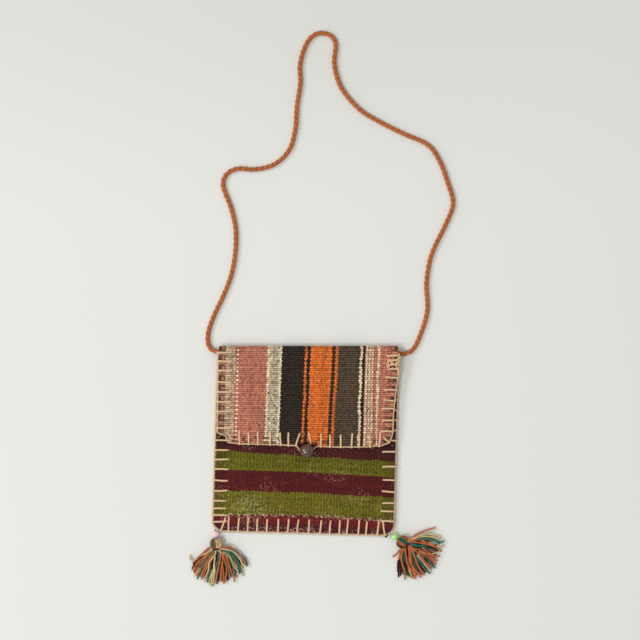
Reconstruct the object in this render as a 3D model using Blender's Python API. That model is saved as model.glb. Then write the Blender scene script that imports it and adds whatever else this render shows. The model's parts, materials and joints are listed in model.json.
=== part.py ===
"""A small kilim shoulder bag, lying on its back with the flap closed and its cord laid out above it.

One length of flat-woven wool is the back, the fold over the top and the flap. A second piece is the
front of the pocket. Blanket stitches in wool yarn join them at the sides and the bottom and edge the
flap. A ball button on a thread stem and a yarn loop close it, a twisted cord is the strap, and a
tassel with a glass bead hangs from each lower corner.

Lengths are in metres. Z is up, Y runs from the bottom edge to the fold, and X to the right. The
origin is the middle of the back, on the surface that the bag lies on.
"""

import math

import bmesh
import bpy
from mathutils import Vector

# The bag over its edge yarns
BAG_WIDTH = 0.1916
BAG_HEIGHT = 0.1971
LEAN = 0.0060
BOTTOM_DROP = 0.0052
CORNER_WIDE = 0.0120
CORNER_HIGH = 0.0090

# Cloth, yarn and the clearance between touching pieces
KILIM = 0.0018
LINING = 0.0004
EDGE_YARN = 0.0016
STITCH_WIDTH = 0.0018
STITCH_THICKNESS = 0.0010
STITCH_LENGTH = 0.0130
STITCH_SPACING = 0.0107
GAP = 0.0003

# The pocket: a flat sewn border, a slope, and the room inside
POCKET_ROOM = 0.0046
BORDER = 0.0145
SLOPE = 0.0200
MOUTH_BELOW_FOLD = 0.0060
LINING_HEM = 0.0020
BORDER_FADE = 0.0080

# The flap
FLAP_REACH = 0.1039
FLAP_INSET = 0.0005
FLAP_TAPER = 0.0020
FLAP_CORNER = 0.0110
FLAP_DROOP_FADE = 0.0300
NOTCH_HALF = 0.0110
NOTCH_DEPTH = 0.0028

# The ball button, its thread stem and the loop
BUTTON_X = 0.0012
BUTTON_Y = -0.0106
BUTTON_RADIUS = 0.0075
BUTTON_LIFT = 0.0029
STEM_RADIUS = 0.0011
STEM_HOLE_DEPTH = 0.0030
STEM_FOOT_RADIUS = 0.0025
STEM_FOOT_HEIGHT = 0.0006
LOOP_YARN = 0.0015
LOOP_HALF = 0.0108
LOOP_NECK = 0.0052
LOOP_DEPTH = 0.0042

# The strap
CORD_DIAMETER = 0.0047
CORD_POINTS = 76
KNOT_RADIUS = 0.0038
KNOT_INSET = 0.0102

# A tassel, from the corner outwards
PIVOT_BALL = 0.0007
THREAD_RADIUS = 0.0006
CORNER_BEAD_RADIUS = 0.0039
HEAD_LENGTH = 0.0100
HEAD_RADIUS = 0.0068
HEAD_HALF_HEIGHT = 0.0052
NECK_HALF = 0.0022
BINDING_WIDTH = 0.0016
BINDING_RADIUS = 0.0050
HUB_RADIUS = 0.0062
HUB_HEIGHT = 0.0070
SKIRT_LENGTH = 0.0345
STRAND_WIDTH = 0.0023
STRAND_HEIGHT = 0.0019
STRANDS = 17
FAN_DEGREES = 128
LEFT_TASSEL_DEGREES = -84
LEFT_SKIRT_BEND_DEGREES = -4
RIGHT_TASSEL_DEGREES = -33
RIGHT_SKIRT_BEND_DEGREES = -18

# The strap's route as it lies, chosen by hand, from the left corner round to the right
CORD_ROUTE = (
    (-0.0853, 0.0917, 0.0063),
    (-0.0925, 0.0924, 0.0053),
    (-0.0992, 0.0948, 0.0030),
    (-0.1027, 0.1025, 0.0024),
    (-0.1020, 0.1140, 0.0024),
    (-0.0960, 0.1310, 0.0024),
    (-0.0870, 0.1500, 0.0024),
    (-0.0785, 0.1720, 0.0024),
    (-0.0740, 0.1970, 0.0024),
    (-0.0737, 0.2210, 0.0024),
    (-0.0785, 0.2430, 0.0024),
    (-0.0867, 0.2660, 0.0024),
    (-0.0830, 0.2785, 0.0024),
    (-0.0710, 0.2842, 0.0024),
    (-0.0529, 0.2835, 0.0024),
    (-0.0330, 0.2888, 0.0024),
    (-0.0177, 0.3036, 0.0024),
    (-0.0112, 0.3250, 0.0024),
    (-0.0093, 0.3500, 0.0024),
    (-0.0058, 0.3740, 0.0024),
    (-0.0060, 0.3940, 0.0024),
    (0.0005, 0.4150, 0.0024),
    (0.0110, 0.4256, 0.0024),
    (0.0245, 0.4247, 0.0024),
    (0.0312, 0.4150, 0.0024),
    (0.0299, 0.3940, 0.0024),
    (0.0370, 0.3695, 0.0024),
    (0.0558, 0.3469, 0.0024),
    (0.0770, 0.3336, 0.0024),
    (0.1020, 0.3211, 0.0024),
    (0.1275, 0.3095, 0.0024),
    (0.1402, 0.2925, 0.0024),
    (0.1492, 0.2684, 0.0024),
    (0.1543, 0.2475, 0.0024),
    (0.1472, 0.2270, 0.0024),
    (0.1320, 0.1945, 0.0024),
    (0.1265, 0.1650, 0.0024),
    (0.1270, 0.1330, 0.0024),
    (0.1150, 0.0985, 0.0024),
    (0.1040, 0.0903, 0.0034),
    (0.0975, 0.0908, 0.0048),
    (0.0909, 0.0914, 0.0063),
)

# Heights of the layers in the middle of the bag
BACK_LINING_BASE = KILIM + GAP
POCKET_FLOOR = BACK_LINING_BASE + LINING
POCKET_CEILING = POCKET_FLOOR + POCKET_ROOM
FRONT_BASE = POCKET_CEILING + LINING + GAP
FRONT_TOP = FRONT_BASE + KILIM
FLAP_BASE = FRONT_TOP + GAP + STITCH_THICKNESS + GAP
FLAP_TOP = FLAP_BASE + KILIM

# Heights of the layers in the sewn border
BACK_BORDER_BASE = STITCH_THICKNESS + GAP
FRONT_BORDER_BASE = BACK_BORDER_BASE + KILIM + GAP
FRONT_BORDER_TOP = FRONT_BORDER_BASE + KILIM
FLAP_BORDER_BASE = FRONT_BORDER_TOP + STITCH_THICKNESS * 2 + GAP * 3

# The fold over the top, a half turn of cloth
FOLD_OUTER = FLAP_TOP / 2
FOLD_MIDDLE = FOLD_OUTER - KILIM / 2
FOLD_START = BAG_HEIGHT / 2 - FOLD_OUTER
HINGE_Y = FOLD_START + FOLD_MIDDLE * math.sin(math.pi / 4)
FOLD_HINGE_Z = FOLD_OUTER - FOLD_MIDDLE * math.cos(math.pi / 4)
FLAP_HINGE_Z = FOLD_OUTER + FOLD_MIDDLE * math.cos(math.pi / 4)
HINGE_EDGE = KILIM / 2 + GAP
LIP = FOLD_MIDDLE * math.pi / 4 - HINGE_EDGE

# The cloth inside the edge yarns
PANEL_HALF = BAG_WIDTH / 2 - EDGE_YARN - GAP
FLAP_HALF = PANEL_HALF - FLAP_INSET
PANEL_BOTTOM = -BAG_HEIGHT / 2 + EDGE_YARN + GAP
MOUTH = FOLD_START - MOUTH_BELOW_FOLD
FLAP_DOWN = FLAP_REACH - FOLD_OUTER - EDGE_YARN - GAP
FLAP_END = FOLD_START - FLAP_DOWN

# The tassels' line, so that a bead just clears the surface
TASSEL_LINE = CORNER_BEAD_RADIUS + GAP

QUARTER_SHARES = (0, 0.25, 0.5, 1)
THIRD_SHARES = (1 / 3, 2 / 3, 1)


def clear_scene():
    for obj in list(bpy.data.objects):
        bpy.data.objects.remove(obj)


def ease(share):
    share = min(max(share, 0), 1)
    return share * share * (3 - 2 * share)


def lean(x, y, z):
    """Where a point of the straight pattern lies on the bag, which leans and drops as hand sewing left it."""
    up = y / BAG_HEIGHT + 1 / 2
    drop = BOTTOM_DROP * (x / BAG_WIDTH) * (1 - up)
    return Vector((x + LEAN * (up - 1 / 2), y - drop, z))


def inside(x, y):
    """0 on the sewn border and 1 where the cloth has risen to its full height."""
    side = ease((PANEL_HALF - BORDER - abs(x)) / SLOPE)
    bottom = ease((y - PANEL_BOTTOM - BORDER) / SLOPE)
    return side * bottom


def back_middle(x, y):
    """The height of the back panel's middle layer: its border rides up to make room for the stitches."""
    lifted = (1 - inside(x, y)) * ease((FOLD_START - y) / BORDER_FADE)
    return KILIM / 2 + BACK_BORDER_BASE * lifted


def front_middle(x, y):
    rise = FRONT_BASE - FRONT_BORDER_BASE
    return FRONT_BORDER_BASE + KILIM / 2 + rise * inside(x, y)


def flap_middle(x, y):
    """The height of the flap's middle layer: its sides droop towards the sewn border, but not at the fold."""
    side = ease((PANEL_HALF - BORDER - abs(x)) / SLOPE)
    droop = (FLAP_BASE - FLAP_BORDER_BASE) * (1 - side) * ease((FOLD_START - y) / FLAP_DROOP_FADE)
    return FLAP_BASE + KILIM / 2 - droop


def make_material(name, colour, roughness, metallic=0):
    material = bpy.data.materials.new(name)
    material.use_nodes = True
    shader = material.node_tree.nodes["Principled BSDF"]
    shader.inputs["Base Color"].default_value = (*colour, 1)
    shader.inputs["Roughness"].default_value = roughness
    shader.inputs["Metallic"].default_value = metallic
    material.diffuse_color = (*colour, 1)
    return material


def make_empty(name, location, parent=None):
    empty = bpy.data.objects.new(name, None)
    bpy.context.scene.collection.objects.link(empty)
    empty.parent = parent
    empty.location = location
    return empty


def make_object(name, bm, colour, roughness=0.9, parent=None, leaned=False):
    """An object from a bmesh drawn in the bag's frame. Under a parent empty it is drawn from there."""
    if leaned:
        for vert in bm.verts:
            vert.co = lean(*vert.co)
    bmesh.ops.recalc_face_normals(bm, faces=bm.faces)
    if parent:
        bmesh.ops.translate(bm, vec=-parent.location, verts=bm.verts)
    mesh = bpy.data.meshes.new(name)
    bm.to_mesh(mesh)
    bm.free()
    obj = bpy.data.objects.new(name, mesh)
    bpy.context.scene.collection.objects.link(obj)
    obj.parent = parent
    mesh.materials.append(make_material(name, colour, roughness))
    mesh.shade_smooth()
    mesh.set_sharp_from_angle(angle=math.radians(40))
    return obj


def side_lines(half, corner):
    """Grid lines across a panel: close at the rounded corners and down the slope of the border."""
    offsets = [corner * share for share in QUARTER_SHARES] + [BORDER]
    offsets += [BORDER + SLOPE * share for share in THIRD_SHARES]
    outer = [half - offset for offset in offsets]
    middle = outer[-1] / 3
    right = outer + [middle]
    return [-line for line in right] + right[::-1]


def make_sheet(name, columns, rows, place, thickness, colour, parent=None):
    """A woven sheet: a grid laid at the middle of the cloth by place(across, along), then given its thickness."""
    bm = bmesh.new()
    column_count, row_count = len(columns) - 1, len(rows) - 1
    bmesh.ops.create_grid(bm, x_segments=column_count, y_segments=row_count, size=1)
    for vert in bm.verts:
        column = round((vert.co.x + 1) / 2 * column_count)
        row = round((vert.co.y + 1) / 2 * row_count)
        vert.co = place(columns[column], rows[row])
    obj = make_object(name, bm, colour, parent=parent, leaned=True)
    solidify = obj.modifiers.new("Cloth", "SOLIDIFY")
    solidify.thickness = thickness
    solidify.offset = 0
    solidify.use_even_offset = True
    return obj


def rounded(x, y):
    """The pattern's lower corners, their square turned into a quarter of an ellipse."""
    wide = (abs(x) - (PANEL_HALF - CORNER_WIDE)) / CORNER_WIDE
    high = (PANEL_BOTTOM + CORNER_HIGH - y) / CORNER_HIGH
    if wide <= 0 or high <= 0:
        return x, y
    inward = wide - wide * math.sqrt(1 - high * high / 2)
    upward = high - high * math.sqrt(1 - wide * wide / 2)
    return x - math.copysign(inward * CORNER_WIDE, x), y + upward * CORNER_HIGH


def make_back_panel():
    def place(across, along):
        if along <= FOLD_START:
            x, y = rounded(across, along)
            return Vector((x, y, back_middle(across, along)))
        turn = (along - FOLD_START) / FOLD_MIDDLE
        rise = FOLD_MIDDLE * (1 - math.cos(turn))
        return Vector((across, FOLD_START + FOLD_MIDDLE * math.sin(turn), KILIM / 2 + rise))

    rows = [PANEL_BOTTOM + CORNER_HIGH * share for share in QUARTER_SHARES]
    rows += [PANEL_BOTTOM + BORDER]
    rows += [PANEL_BOTTOM + BORDER + SLOPE * share for share in THIRD_SHARES]
    rows += [0, FOLD_START - BORDER_FADE * 1.5, FOLD_START - BORDER_FADE, FOLD_START - BORDER_FADE / 2]
    rows += [FOLD_START + LIP * share for share in (0, *THIRD_SHARES)]
    return make_sheet("back_panel", side_lines(PANEL_HALF, CORNER_WIDE), rows, place, KILIM, (0.32, 0.16, 0.12))


def make_front_panel():
    def place(across, along):
        x, y = rounded(across, along)
        return Vector((x, y, front_middle(across, along)))

    rows = [PANEL_BOTTOM + CORNER_HIGH * share for share in QUARTER_SHARES]
    rows += [PANEL_BOTTOM + BORDER]
    rows += [PANEL_BOTTOM + BORDER + SLOPE * share for share in THIRD_SHARES]
    rows += [0, MOUTH]
    return make_sheet("front_panel", side_lines(PANEL_HALF, CORNER_WIDE), rows, place, KILIM, (0.23, 0.03, 0.05))


def flap_half(y):
    """Half the flap's width, which narrows a little towards its lower edge."""
    return FLAP_HALF - FLAP_TAPER * min(max((FOLD_START - y) / FLAP_DOWN, 0), 1)


def notch(x):
    """How far the flap's lower edge is drawn up where the button stands against it."""
    share = (x - BUTTON_X) / NOTCH_HALF
    return NOTCH_DEPTH * (1 - share * share) ** 2 if abs(share) < 1 else 0


def make_flap_panel(hinge):
    def place(across, along):
        """along is the distance from the fold's end, negative where the cloth still curls round it."""
        if along < 0:
            turn = -along / FOLD_MIDDLE
            fall = FOLD_MIDDLE * (1 - math.cos(turn))
            height = FLAP_BASE + KILIM / 2 - fall
            return Vector((across, FOLD_START + FOLD_MIDDLE * math.sin(turn), height))
        y = FOLD_START - along
        x = across * flap_half(y) / FLAP_HALF
        wide = (abs(across) - (FLAP_HALF - FLAP_CORNER)) / FLAP_CORNER
        low = (along - (FLAP_DOWN - FLAP_CORNER)) / FLAP_CORNER
        height = flap_middle(x, y)
        if wide > 0 and low > 0:
            x -= math.copysign(wide * low / 2 * FLAP_CORNER, across)
            y += wide * low / 2 * FLAP_CORNER
        y += notch(x) * ease(low)
        return Vector((x, y, height))

    columns = [FLAP_HALF - FLAP_CORNER * share for share in (0, 0.5, 1)] + [FLAP_HALF - BORDER]
    columns += [FLAP_HALF - BORDER - SLOPE * share for share in THIRD_SHARES] + [FLAP_HALF / 3]
    near_button = [BUTTON_X + NOTCH_HALF * share for share in (1, 0.7, 0.35, 0, -0.35, -0.7, -1)]
    columns = [-line for line in columns] + near_button[::-1] + columns[::-1]
    rows = [-LIP * share for share in THIRD_SHARES[::-1]] + [0]
    rows += [FLAP_DROOP_FADE * share for share in THIRD_SHARES]
    rows += [FLAP_DOWN * 0.6] + [FLAP_DOWN - FLAP_CORNER * share for share in (1, 0.5, 0)]
    return make_sheet("flap_panel", columns, rows, place, KILIM, (0.55, 0.25, 0.16), hinge)


def make_flap_fold(hinge):
    """The outer quarter turn of the fold, with round edges on the two hinge lines."""
    bm = bmesh.new()
    quarter, steps = math.pi / 4, 8
    profile = []
    for step in range(steps + 1):
        turn = -quarter + 2 * quarter * step / steps
        profile.append((FOLD_OUTER * math.cos(turn), FOLD_OUTER * math.sin(turn)))
    for step in range(1, 4):
        round_turn = quarter + math.pi * step / 4
        edge = (FOLD_MIDDLE * math.cos(quarter), FOLD_MIDDLE * math.sin(quarter))
        profile.append((
            edge[0] + KILIM / 2 * math.cos(round_turn),
            edge[1] + KILIM / 2 * math.sin(round_turn),
        ))
    inner = FOLD_OUTER - KILIM
    for step in range(steps + 1):
        turn = quarter - 2 * quarter * step / steps
        profile.append((inner * math.cos(turn), inner * math.sin(turn)))
    for step in range(1, 4):
        round_turn = math.pi - quarter + math.pi * step / 4
        edge = (FOLD_MIDDLE * math.cos(quarter), -FOLD_MIDDLE * math.sin(quarter))
        profile.append((
            edge[0] + KILIM / 2 * math.cos(round_turn),
            edge[1] + KILIM / 2 * math.sin(round_turn),
        ))
    outline = [
        bm.verts.new((-FLAP_HALF, FOLD_START + out, FOLD_OUTER + up)) for out, up in profile
    ]
    face = bm.faces.new(outline)
    _, moved = extrude(bm, face)
    bmesh.ops.translate(bm, vec=(FLAP_HALF * 2, 0, 0), verts=moved)
    return make_object("flap_fold", bm, (0.52, 0.23, 0.15), parent=hinge, leaned=True)


def make_linings(flap_hinge):
    """Thin cotton behind the kilim, inside the sewn borders."""
    insets = [BORDER + SLOPE * share for share in THIRD_SHARES[1:]]
    right = [PANEL_HALF - inset for inset in insets]
    columns = [-line for line in right] + right[::-1]
    rows = [PANEL_BOTTOM + inset for inset in insets] + [0, MOUTH - LINING_HEM]
    away = KILIM / 2 + GAP + LINING / 2
    colour = (0.72, 0.66, 0.54)

    def on_back(x, y):
        return Vector((x, y, back_middle(x, y) + away))

    def on_front(x, y):
        return Vector((x, y, front_middle(x, y) - away))

    def on_flap(across, along):
        y = FOLD_START - along
        x = across * flap_half(y) / FLAP_HALF
        return Vector((x, y, flap_middle(x, y) - away - GAP / 3))

    make_sheet("lining_back", columns, rows, on_back, LINING, colour)
    make_sheet("lining_front", columns, rows, on_front, LINING, colour)
    flap_right = [FLAP_HALF - inset for inset in insets]
    flap_columns = [-line for line in flap_right] + flap_right[::-1]
    flap_rows = [FLAP_DROOP_FADE * share for share in THIRD_SHARES]
    flap_rows += [FLAP_DOWN * 0.6, FLAP_DOWN - BORDER - NOTCH_DEPTH]
    make_sheet("lining_flap", flap_columns, flap_rows, on_flap, LINING, colour, flap_hinge)


def outward_offsets(outline, distance):
    """The outline moved outwards by a distance, its corners mitred. The cloth lies to its left."""
    moved, directions = [], []
    for index, point in enumerate(outline):
        before = outline[max(index - 1, 0)]
        after = outline[min(index + 1, len(outline) - 1)]
        first = (point - before).normalized() if index else (after - point).normalized()
        second = (after - point).normalized() if index < len(outline) - 1 else first
        along = (first + second).normalized()
        out = Vector((along.y, -along.x))
        stretch = 1 / max(along.dot(second), 0.5)
        directions.append(out * stretch)
        moved.append(point + out * stretch * distance)
    return moved, directions


def extrude(bm, face):
    """Extrudes one face, with its edges, so that the face left behind goes. Returns the new face and its vertices."""
    made = bmesh.ops.extrude_face_region(bm, geom=[face, *face.edges, *face.verts])["geom"]
    verts = [item for item in made if isinstance(item, bmesh.types.BMVert)]
    return next(item for item in made if isinstance(item, bmesh.types.BMFace)), verts


def face_at(bm, point):
    return min(bm.faces, key=lambda face: (face.calc_center_median() - point).length_squared)


def push(bm, face, move):
    """Extrudes one face by a move, and returns it in its new place."""
    pushed = bmesh.ops.extrude_discrete_faces(bm, faces=[face])["faces"][0]
    bmesh.ops.translate(bm, vec=move, verts=pushed.verts)
    return pushed


def make_stitching(name, outline, stitch_starts, top, under, colour, parent=None):
    """Blanket stitch: one edge yarn along the outline, and a stitch over each face of the cloth at its starts.

    top(x, y) and under(x, y) are the heights of the cloth's two faces there.
    """
    radius = EDGE_YARN / 2
    centres, outs = outward_offsets(outline, GAP + radius)
    rings = []
    for centre, out in zip(centres, outs):
        height = (top(centre.x, centre.y) + under(centre.x, centre.y)) / 2
        rings.append([
            Vector((centre.x + out.x * side * radius, centre.y + out.y * side * radius, height + up * radius))
            for side, up in ((-1, -1), (1, -1), (1, 1), (-1, 1))
        ])
    bm = bmesh.new()
    face = bm.faces.new([bm.verts.new(corner) for corner in rings[0]])
    for before, ring in zip(rings, rings[1:]):
        face, moved = extrude(bm, face)
        for vert in moved:
            corner = min(range(4), key=lambda index: (before[index] - vert.co).length_squared)
            vert.co = ring[corner]
    bmesh.ops.recalc_face_normals(bm, faces=bm.faces)
    for start in stitch_starts:
        middle = (centres[start] + centres[start + 1]) / 2
        out = (outs[start] + outs[start + 1]).normalized()
        root = middle - out * (radius + GAP)
        tip = root - out * STITCH_LENGTH
        for side, cloth in ((1, top), (-1, under)):
            yarn_height = (rings[start][0].z + rings[start][3].z) / 2
            foot = Vector((middle.x, middle.y, yarn_height + side * radius))
            rise = cloth(middle.x, middle.y) + side * GAP - foot.z
            riser = push(bm, face_at(bm, foot), (0, 0, rise))
            push(bm, riser, (0, 0, side * STITCH_THICKNESS))
            inner = foot + Vector((-out.x * radius, -out.y * radius, rise + side * STITCH_THICKNESS / 2))
            fall = cloth(tip.x, tip.y) - cloth(middle.x, middle.y)
            reach = -out * (GAP + STITCH_LENGTH)
            push(bm, face_at(bm, inner), (reach.x, reach.y, fall))
    return make_object(name, bm, colour, parent=parent, leaned=True)


def with_stitches(start, end, count, first, spacing):
    """Points along a straight edge from start to end, two at each stitch, and the indexes of each first one."""
    along = (end - start).normalized()
    points, starts = [start], []
    for number in range(count):
        middle = first + spacing * number
        starts.append(len(points))
        points.append(start + along * (middle - STITCH_WIDTH / 2))
        points.append(start + along * (middle + STITCH_WIDTH / 2))
    points.append(end)
    return points, starts


def corner_arc(side, from_degrees, to_degrees):
    """The rounded lower corner on one side, -1 left or 1 right; 0 degrees faces sideways and 90 down."""
    centre = Vector((side * (PANEL_HALF - CORNER_WIDE), PANEL_BOTTOM + CORNER_HIGH))
    points = []
    for step in range(4):
        turn = math.radians(from_degrees + (to_degrees - from_degrees) * step / 3)
        points.append(centre + Vector((
            side * CORNER_WIDE * math.cos(turn),
            -CORNER_HIGH * math.sin(turn),
        )))
    return points


def make_pocket_stitching(colour):
    """Edge yarn and stitches on the pocket's two sides and its bottom, where both panels are sewn through."""
    def top(x, y):
        return FRONT_BORDER_TOP

    def under(x, y):
        return BACK_BORDER_BASE

    low, high = PANEL_BOTTOM + CORNER_HIGH, MOUTH - GAP
    count = int((high - low - STITCH_SPACING / 2) / STITCH_SPACING) + 1
    first = STITCH_SPACING / 2
    # Going down the left side, along the bottom and up the right side keeps the cloth on the left.
    sides, starts = with_stitches(
        Vector((-PANEL_HALF, high)), Vector((-PANEL_HALF, low)), count, first, STITCH_SPACING
    )
    left = sides[:-1] + corner_arc(-1, 0, 42)
    make_stitching("stitching_left", left, starts, top, under, colour)
    up, starts = with_stitches(
        Vector((PANEL_HALF, low)), Vector((PANEL_HALF, high)), count, high - low - first
        - STITCH_SPACING * (count - 1), STITCH_SPACING
    )
    arc = corner_arc(1, 42, 0)
    right = arc[:-1] + up
    make_stitching(
        "stitching_right", right, [start + len(arc) - 1 for start in starts], top, under, colour
    )
    across = (PANEL_HALF - CORNER_WIDE) * 2
    count = int(across / STITCH_SPACING)
    margin = (across - STITCH_SPACING * (count - 1)) / 2
    along, starts = with_stitches(
        Vector((-across / 2, PANEL_BOTTOM)), Vector((across / 2, PANEL_BOTTOM)), count, margin, STITCH_SPACING
    )
    arc = corner_arc(-1, 48, 90)
    bottom = arc[:-1] + along[:-1] + corner_arc(1, 90, 48)
    make_stitching(
        "stitching_bottom", bottom, [start + len(arc) - 1 for start in starts], top, under, colour
    )


def make_flap_stitching(hinge, colour):
    """Edge yarn and stitches down the flap's sides and along its lower edge."""
    def top(x, y):
        return flap_middle(x, y) + KILIM / 2

    def under(x, y):
        return flap_middle(x, y) - KILIM / 2

    high, low = MOUTH - GAP, FLAP_END + FLAP_CORNER
    top_half, low_half = flap_half(high), flap_half(low)
    corner_x = flap_half(FLAP_END) - FLAP_CORNER
    count = int((high - low) / STITCH_SPACING)
    left, left_starts = with_stitches(
        Vector((-top_half, high)), Vector((-low_half, low)), count, STITCH_SPACING / 2, STITCH_SPACING
    )
    chamfer, chamfer_starts = with_stitches(
        Vector((-low_half, low)), Vector((-corner_x, FLAP_END)), 1, FLAP_CORNER * 0.7, STITCH_SPACING
    )
    along = int(corner_x * 2 / STITCH_SPACING)
    margin = (corner_x * 2 - STITCH_SPACING * (along - 1)) / 2
    bottom, bottom_starts = with_stitches(
        Vector((-corner_x, FLAP_END)), Vector((corner_x, FLAP_END)), along, margin, STITCH_SPACING
    )
    bottom = [Vector((point.x, point.y + notch(point.x))) for point in bottom]
    outline, starts = [], []
    mirrored_chamfer = [Vector((-point.x, point.y)) for point in chamfer[::-1]]
    mirrored_left = [Vector((-point.x, point.y)) for point in left[::-1]]
    mirrored_chamfer_starts = [len(chamfer) - 2 - start for start in chamfer_starts]
    mirrored_left_starts = [len(left) - 2 - start for start in left_starts]
    for points, own_starts in (
        (left, left_starts),
        (chamfer, chamfer_starts),
        (bottom, bottom_starts),
        (mirrored_chamfer, mirrored_chamfer_starts),
        (mirrored_left, mirrored_left_starts),
    ):
        if outline:
            points, own_starts = points[1:], [start - 1 for start in own_starts]
        starts += [start + len(outline) for start in own_starts]
        outline += points
    make_stitching("stitching_flap", outline, starts, top, under, colour, hinge)


def smooth_route(points, count):
    """Evenly spaced points on a Catmull-Rom curve through the given ones."""
    points = [Vector(point) for point in points]
    ends = [points[0] * 2 - points[1], *points, points[-1] * 2 - points[-2]]
    fine = []
    for a, b, c, d in zip(ends, ends[1:], ends[2:], ends[3:]):
        for step in range(12):
            t = step / 12
            fine.append((
                b * 2 + (c - a) * t + (a * 2 - b * 5 + c * 4 - d) * t * t
                + (b * 3 - a - c * 3 + d) * t * t * t
            ) / 2)
    fine.append(points[-1])
    distances = [0]
    for first, second in zip(fine, fine[1:]):
        distances.append(distances[-1] + (second - first).length)
    even, index = [], 0
    for number in range(count):
        wanted = distances[-1] * number / (count - 1)
        while index < len(fine) - 2 and distances[index + 1] < wanted:
            index += 1
        share = (wanted - distances[index]) / (distances[index + 1] - distances[index])
        even.append(fine[index].lerp(fine[index + 1], share))
    return even, distances[-1]


def make_tube(name, points, diameter, resolution, colour, parent=None):
    """A yarn or cord: a poly curve with a round bevel and filled ends."""
    curve = bpy.data.curves.new(name, "CURVE")
    curve.dimensions = "3D"
    curve.bevel_depth = diameter / 2
    curve.bevel_resolution = resolution
    curve.use_fill_caps = True
    spline = curve.splines.new("POLY")
    spline.points.add(len(points) - 1)
    origin = parent.location if parent else Vector()
    for point, place in zip(spline.points, points):
        point.co = (*(place - origin), 1)
    obj = bpy.data.objects.new(name, curve)
    bpy.context.scene.collection.objects.link(obj)
    obj.parent = parent
    curve.materials.append(make_material(name, colour, 0.9))
    return obj


def make_strap():
    route, length = smooth_route(CORD_ROUTE, CORD_POINTS)
    make_tube("strap_cord", route, CORD_DIAMETER, 2, (0.50, 0.15, 0.05))
    print(f"strap cord: {length:.4f} m long")
    for name, side, end in (("strap_knot_left", -1, route[0]), ("strap_knot_right", 1, route[-1])):
        bm = bmesh.new()
        bmesh.ops.create_icosphere(bm, subdivisions=2, radius=KNOT_RADIUS)
        bmesh.ops.translate(bm, vec=(side * (PANEL_HALF - KNOT_INSET), FOLD_START, FOLD_OUTER), verts=bm.verts)
        make_object(name, bm, (0.46, 0.13, 0.04), leaned=True)


def make_turned(bm, profile, steps, axis, centre):
    """Spins a profile of (along, radius) pairs round an axis line through the centre."""
    side = Vector((0, 0, 1)) if abs(axis.z) < 0.5 else Vector((1, 0, 0))
    verts = [bm.verts.new(centre + axis * along + side * radius) for along, radius in profile]
    edges = [bm.edges.new(pair) for pair in zip(verts, verts[1:])]
    bmesh.ops.spin(
        bm, geom=verts + edges, cent=centre, axis=axis, angle=math.tau, steps=steps, use_merge=True
    )
    bmesh.ops.remove_doubles(bm, verts=bm.verts, dist=GAP / 100)


def make_button(spin_axis):
    """The ball button with a blind hole underneath, its thread stem and the stem's sewn foot."""
    centre = Vector((BUTTON_X, BUTTON_Y, FRONT_TOP + BUTTON_LIFT + BUTTON_RADIUS))
    hole = STEM_RADIUS + GAP
    start = math.asin(hole / BUTTON_RADIUS)
    steps = 12
    profile = [(-BUTTON_RADIUS * math.cos(start) + STEM_HOLE_DEPTH, 0)]
    profile.append((profile[0][0], hole))
    for step in range(steps + 1):
        turn = start + (math.pi - start) * step / steps
        profile.append((-BUTTON_RADIUS * math.cos(turn), BUTTON_RADIUS * math.sin(turn)))
    profile[-1] = (BUTTON_RADIUS, 0)
    bm = bmesh.new()
    make_turned(bm, profile, 20, Vector((0, 0, 1)), centre)
    make_object("button_bead", bm, (0.16, 0.09, 0.07), 0.3, spin_axis)
    foot = FRONT_TOP + GAP
    stem_top = profile[0][0] + centre.z - GAP
    profile = (
        (foot, 0),
        (foot, STEM_FOOT_RADIUS),
        (foot + STEM_FOOT_HEIGHT, STEM_FOOT_RADIUS),
        (foot + STEM_FOOT_HEIGHT, STEM_RADIUS),
        (stem_top, STEM_RADIUS),
        (stem_top, 0),
    )
    bm = bmesh.new()
    make_turned(bm, profile, 12, Vector((0, 0, 1)), Vector((BUTTON_X, BUTTON_Y, 0)))
    make_object("button_thread", bm, (0.35, 0.25, 0.16))


def make_closure_loop(hinge):
    """A yarn loop from the flap's edge, round the button's stem and back."""
    edge_y = FLAP_END - GAP * 2 - EDGE_YARN - LOOP_YARN / 2
    lowest = FRONT_TOP + GAP + LOOP_YARN / 2
    middle = FLAP_BASE + KILIM / 2
    half = (
        (LOOP_HALF, edge_y, middle),
        (LOOP_HALF * 0.82, (edge_y + BUTTON_Y) / 2, (middle + lowest) / 2),
        (LOOP_NECK * 1.1, BUTTON_Y - LOOP_DEPTH * 0.25, lowest),
        (LOOP_NECK * 0.6, BUTTON_Y - LOOP_DEPTH * 0.8, lowest),
    )
    points = [(BUTTON_X + x, y, z) for x, y, z in half]
    points.append((BUTTON_X, BUTTON_Y - LOOP_DEPTH, lowest))
    points += [(BUTTON_X - x, y, z) for x, y, z in half[::-1]]
    route, length = smooth_route(points, 17)
    make_tube("closure_loop", route, LOOP_YARN, 1, (0.72, 0.48, 0.26), hinge)


def corner_pivot(side):
    """Where a tassel's thread leaves the bag's rounded corner, clear of the edge yarn."""
    turn = math.radians(45)
    out = Vector((side * CORNER_HIGH * math.cos(turn), -CORNER_WIDE * math.sin(turn))).normalized()
    corner = Vector((
        side * (PANEL_HALF - CORNER_WIDE + CORNER_WIDE * math.cos(turn)),
        PANEL_BOTTOM + CORNER_HIGH - CORNER_HIGH * math.sin(turn),
    ))
    place = corner + out * (EDGE_YARN + GAP * 2 + PIVOT_BALL)
    return lean(place.x, place.y, TASSEL_LINE)


def place_tassel(obj_bm, pivot, degrees):
    """Turns what was drawn along +X from the origin to its direction at the pivot."""
    turn = math.radians(degrees)
    for vert in obj_bm.verts:
        x, y, z = vert.co
        vert.co = pivot + Vector((
            x * math.cos(turn) - y * math.sin(turn),
            x * math.sin(turn) + y * math.cos(turn),
            z,
        ))


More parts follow.
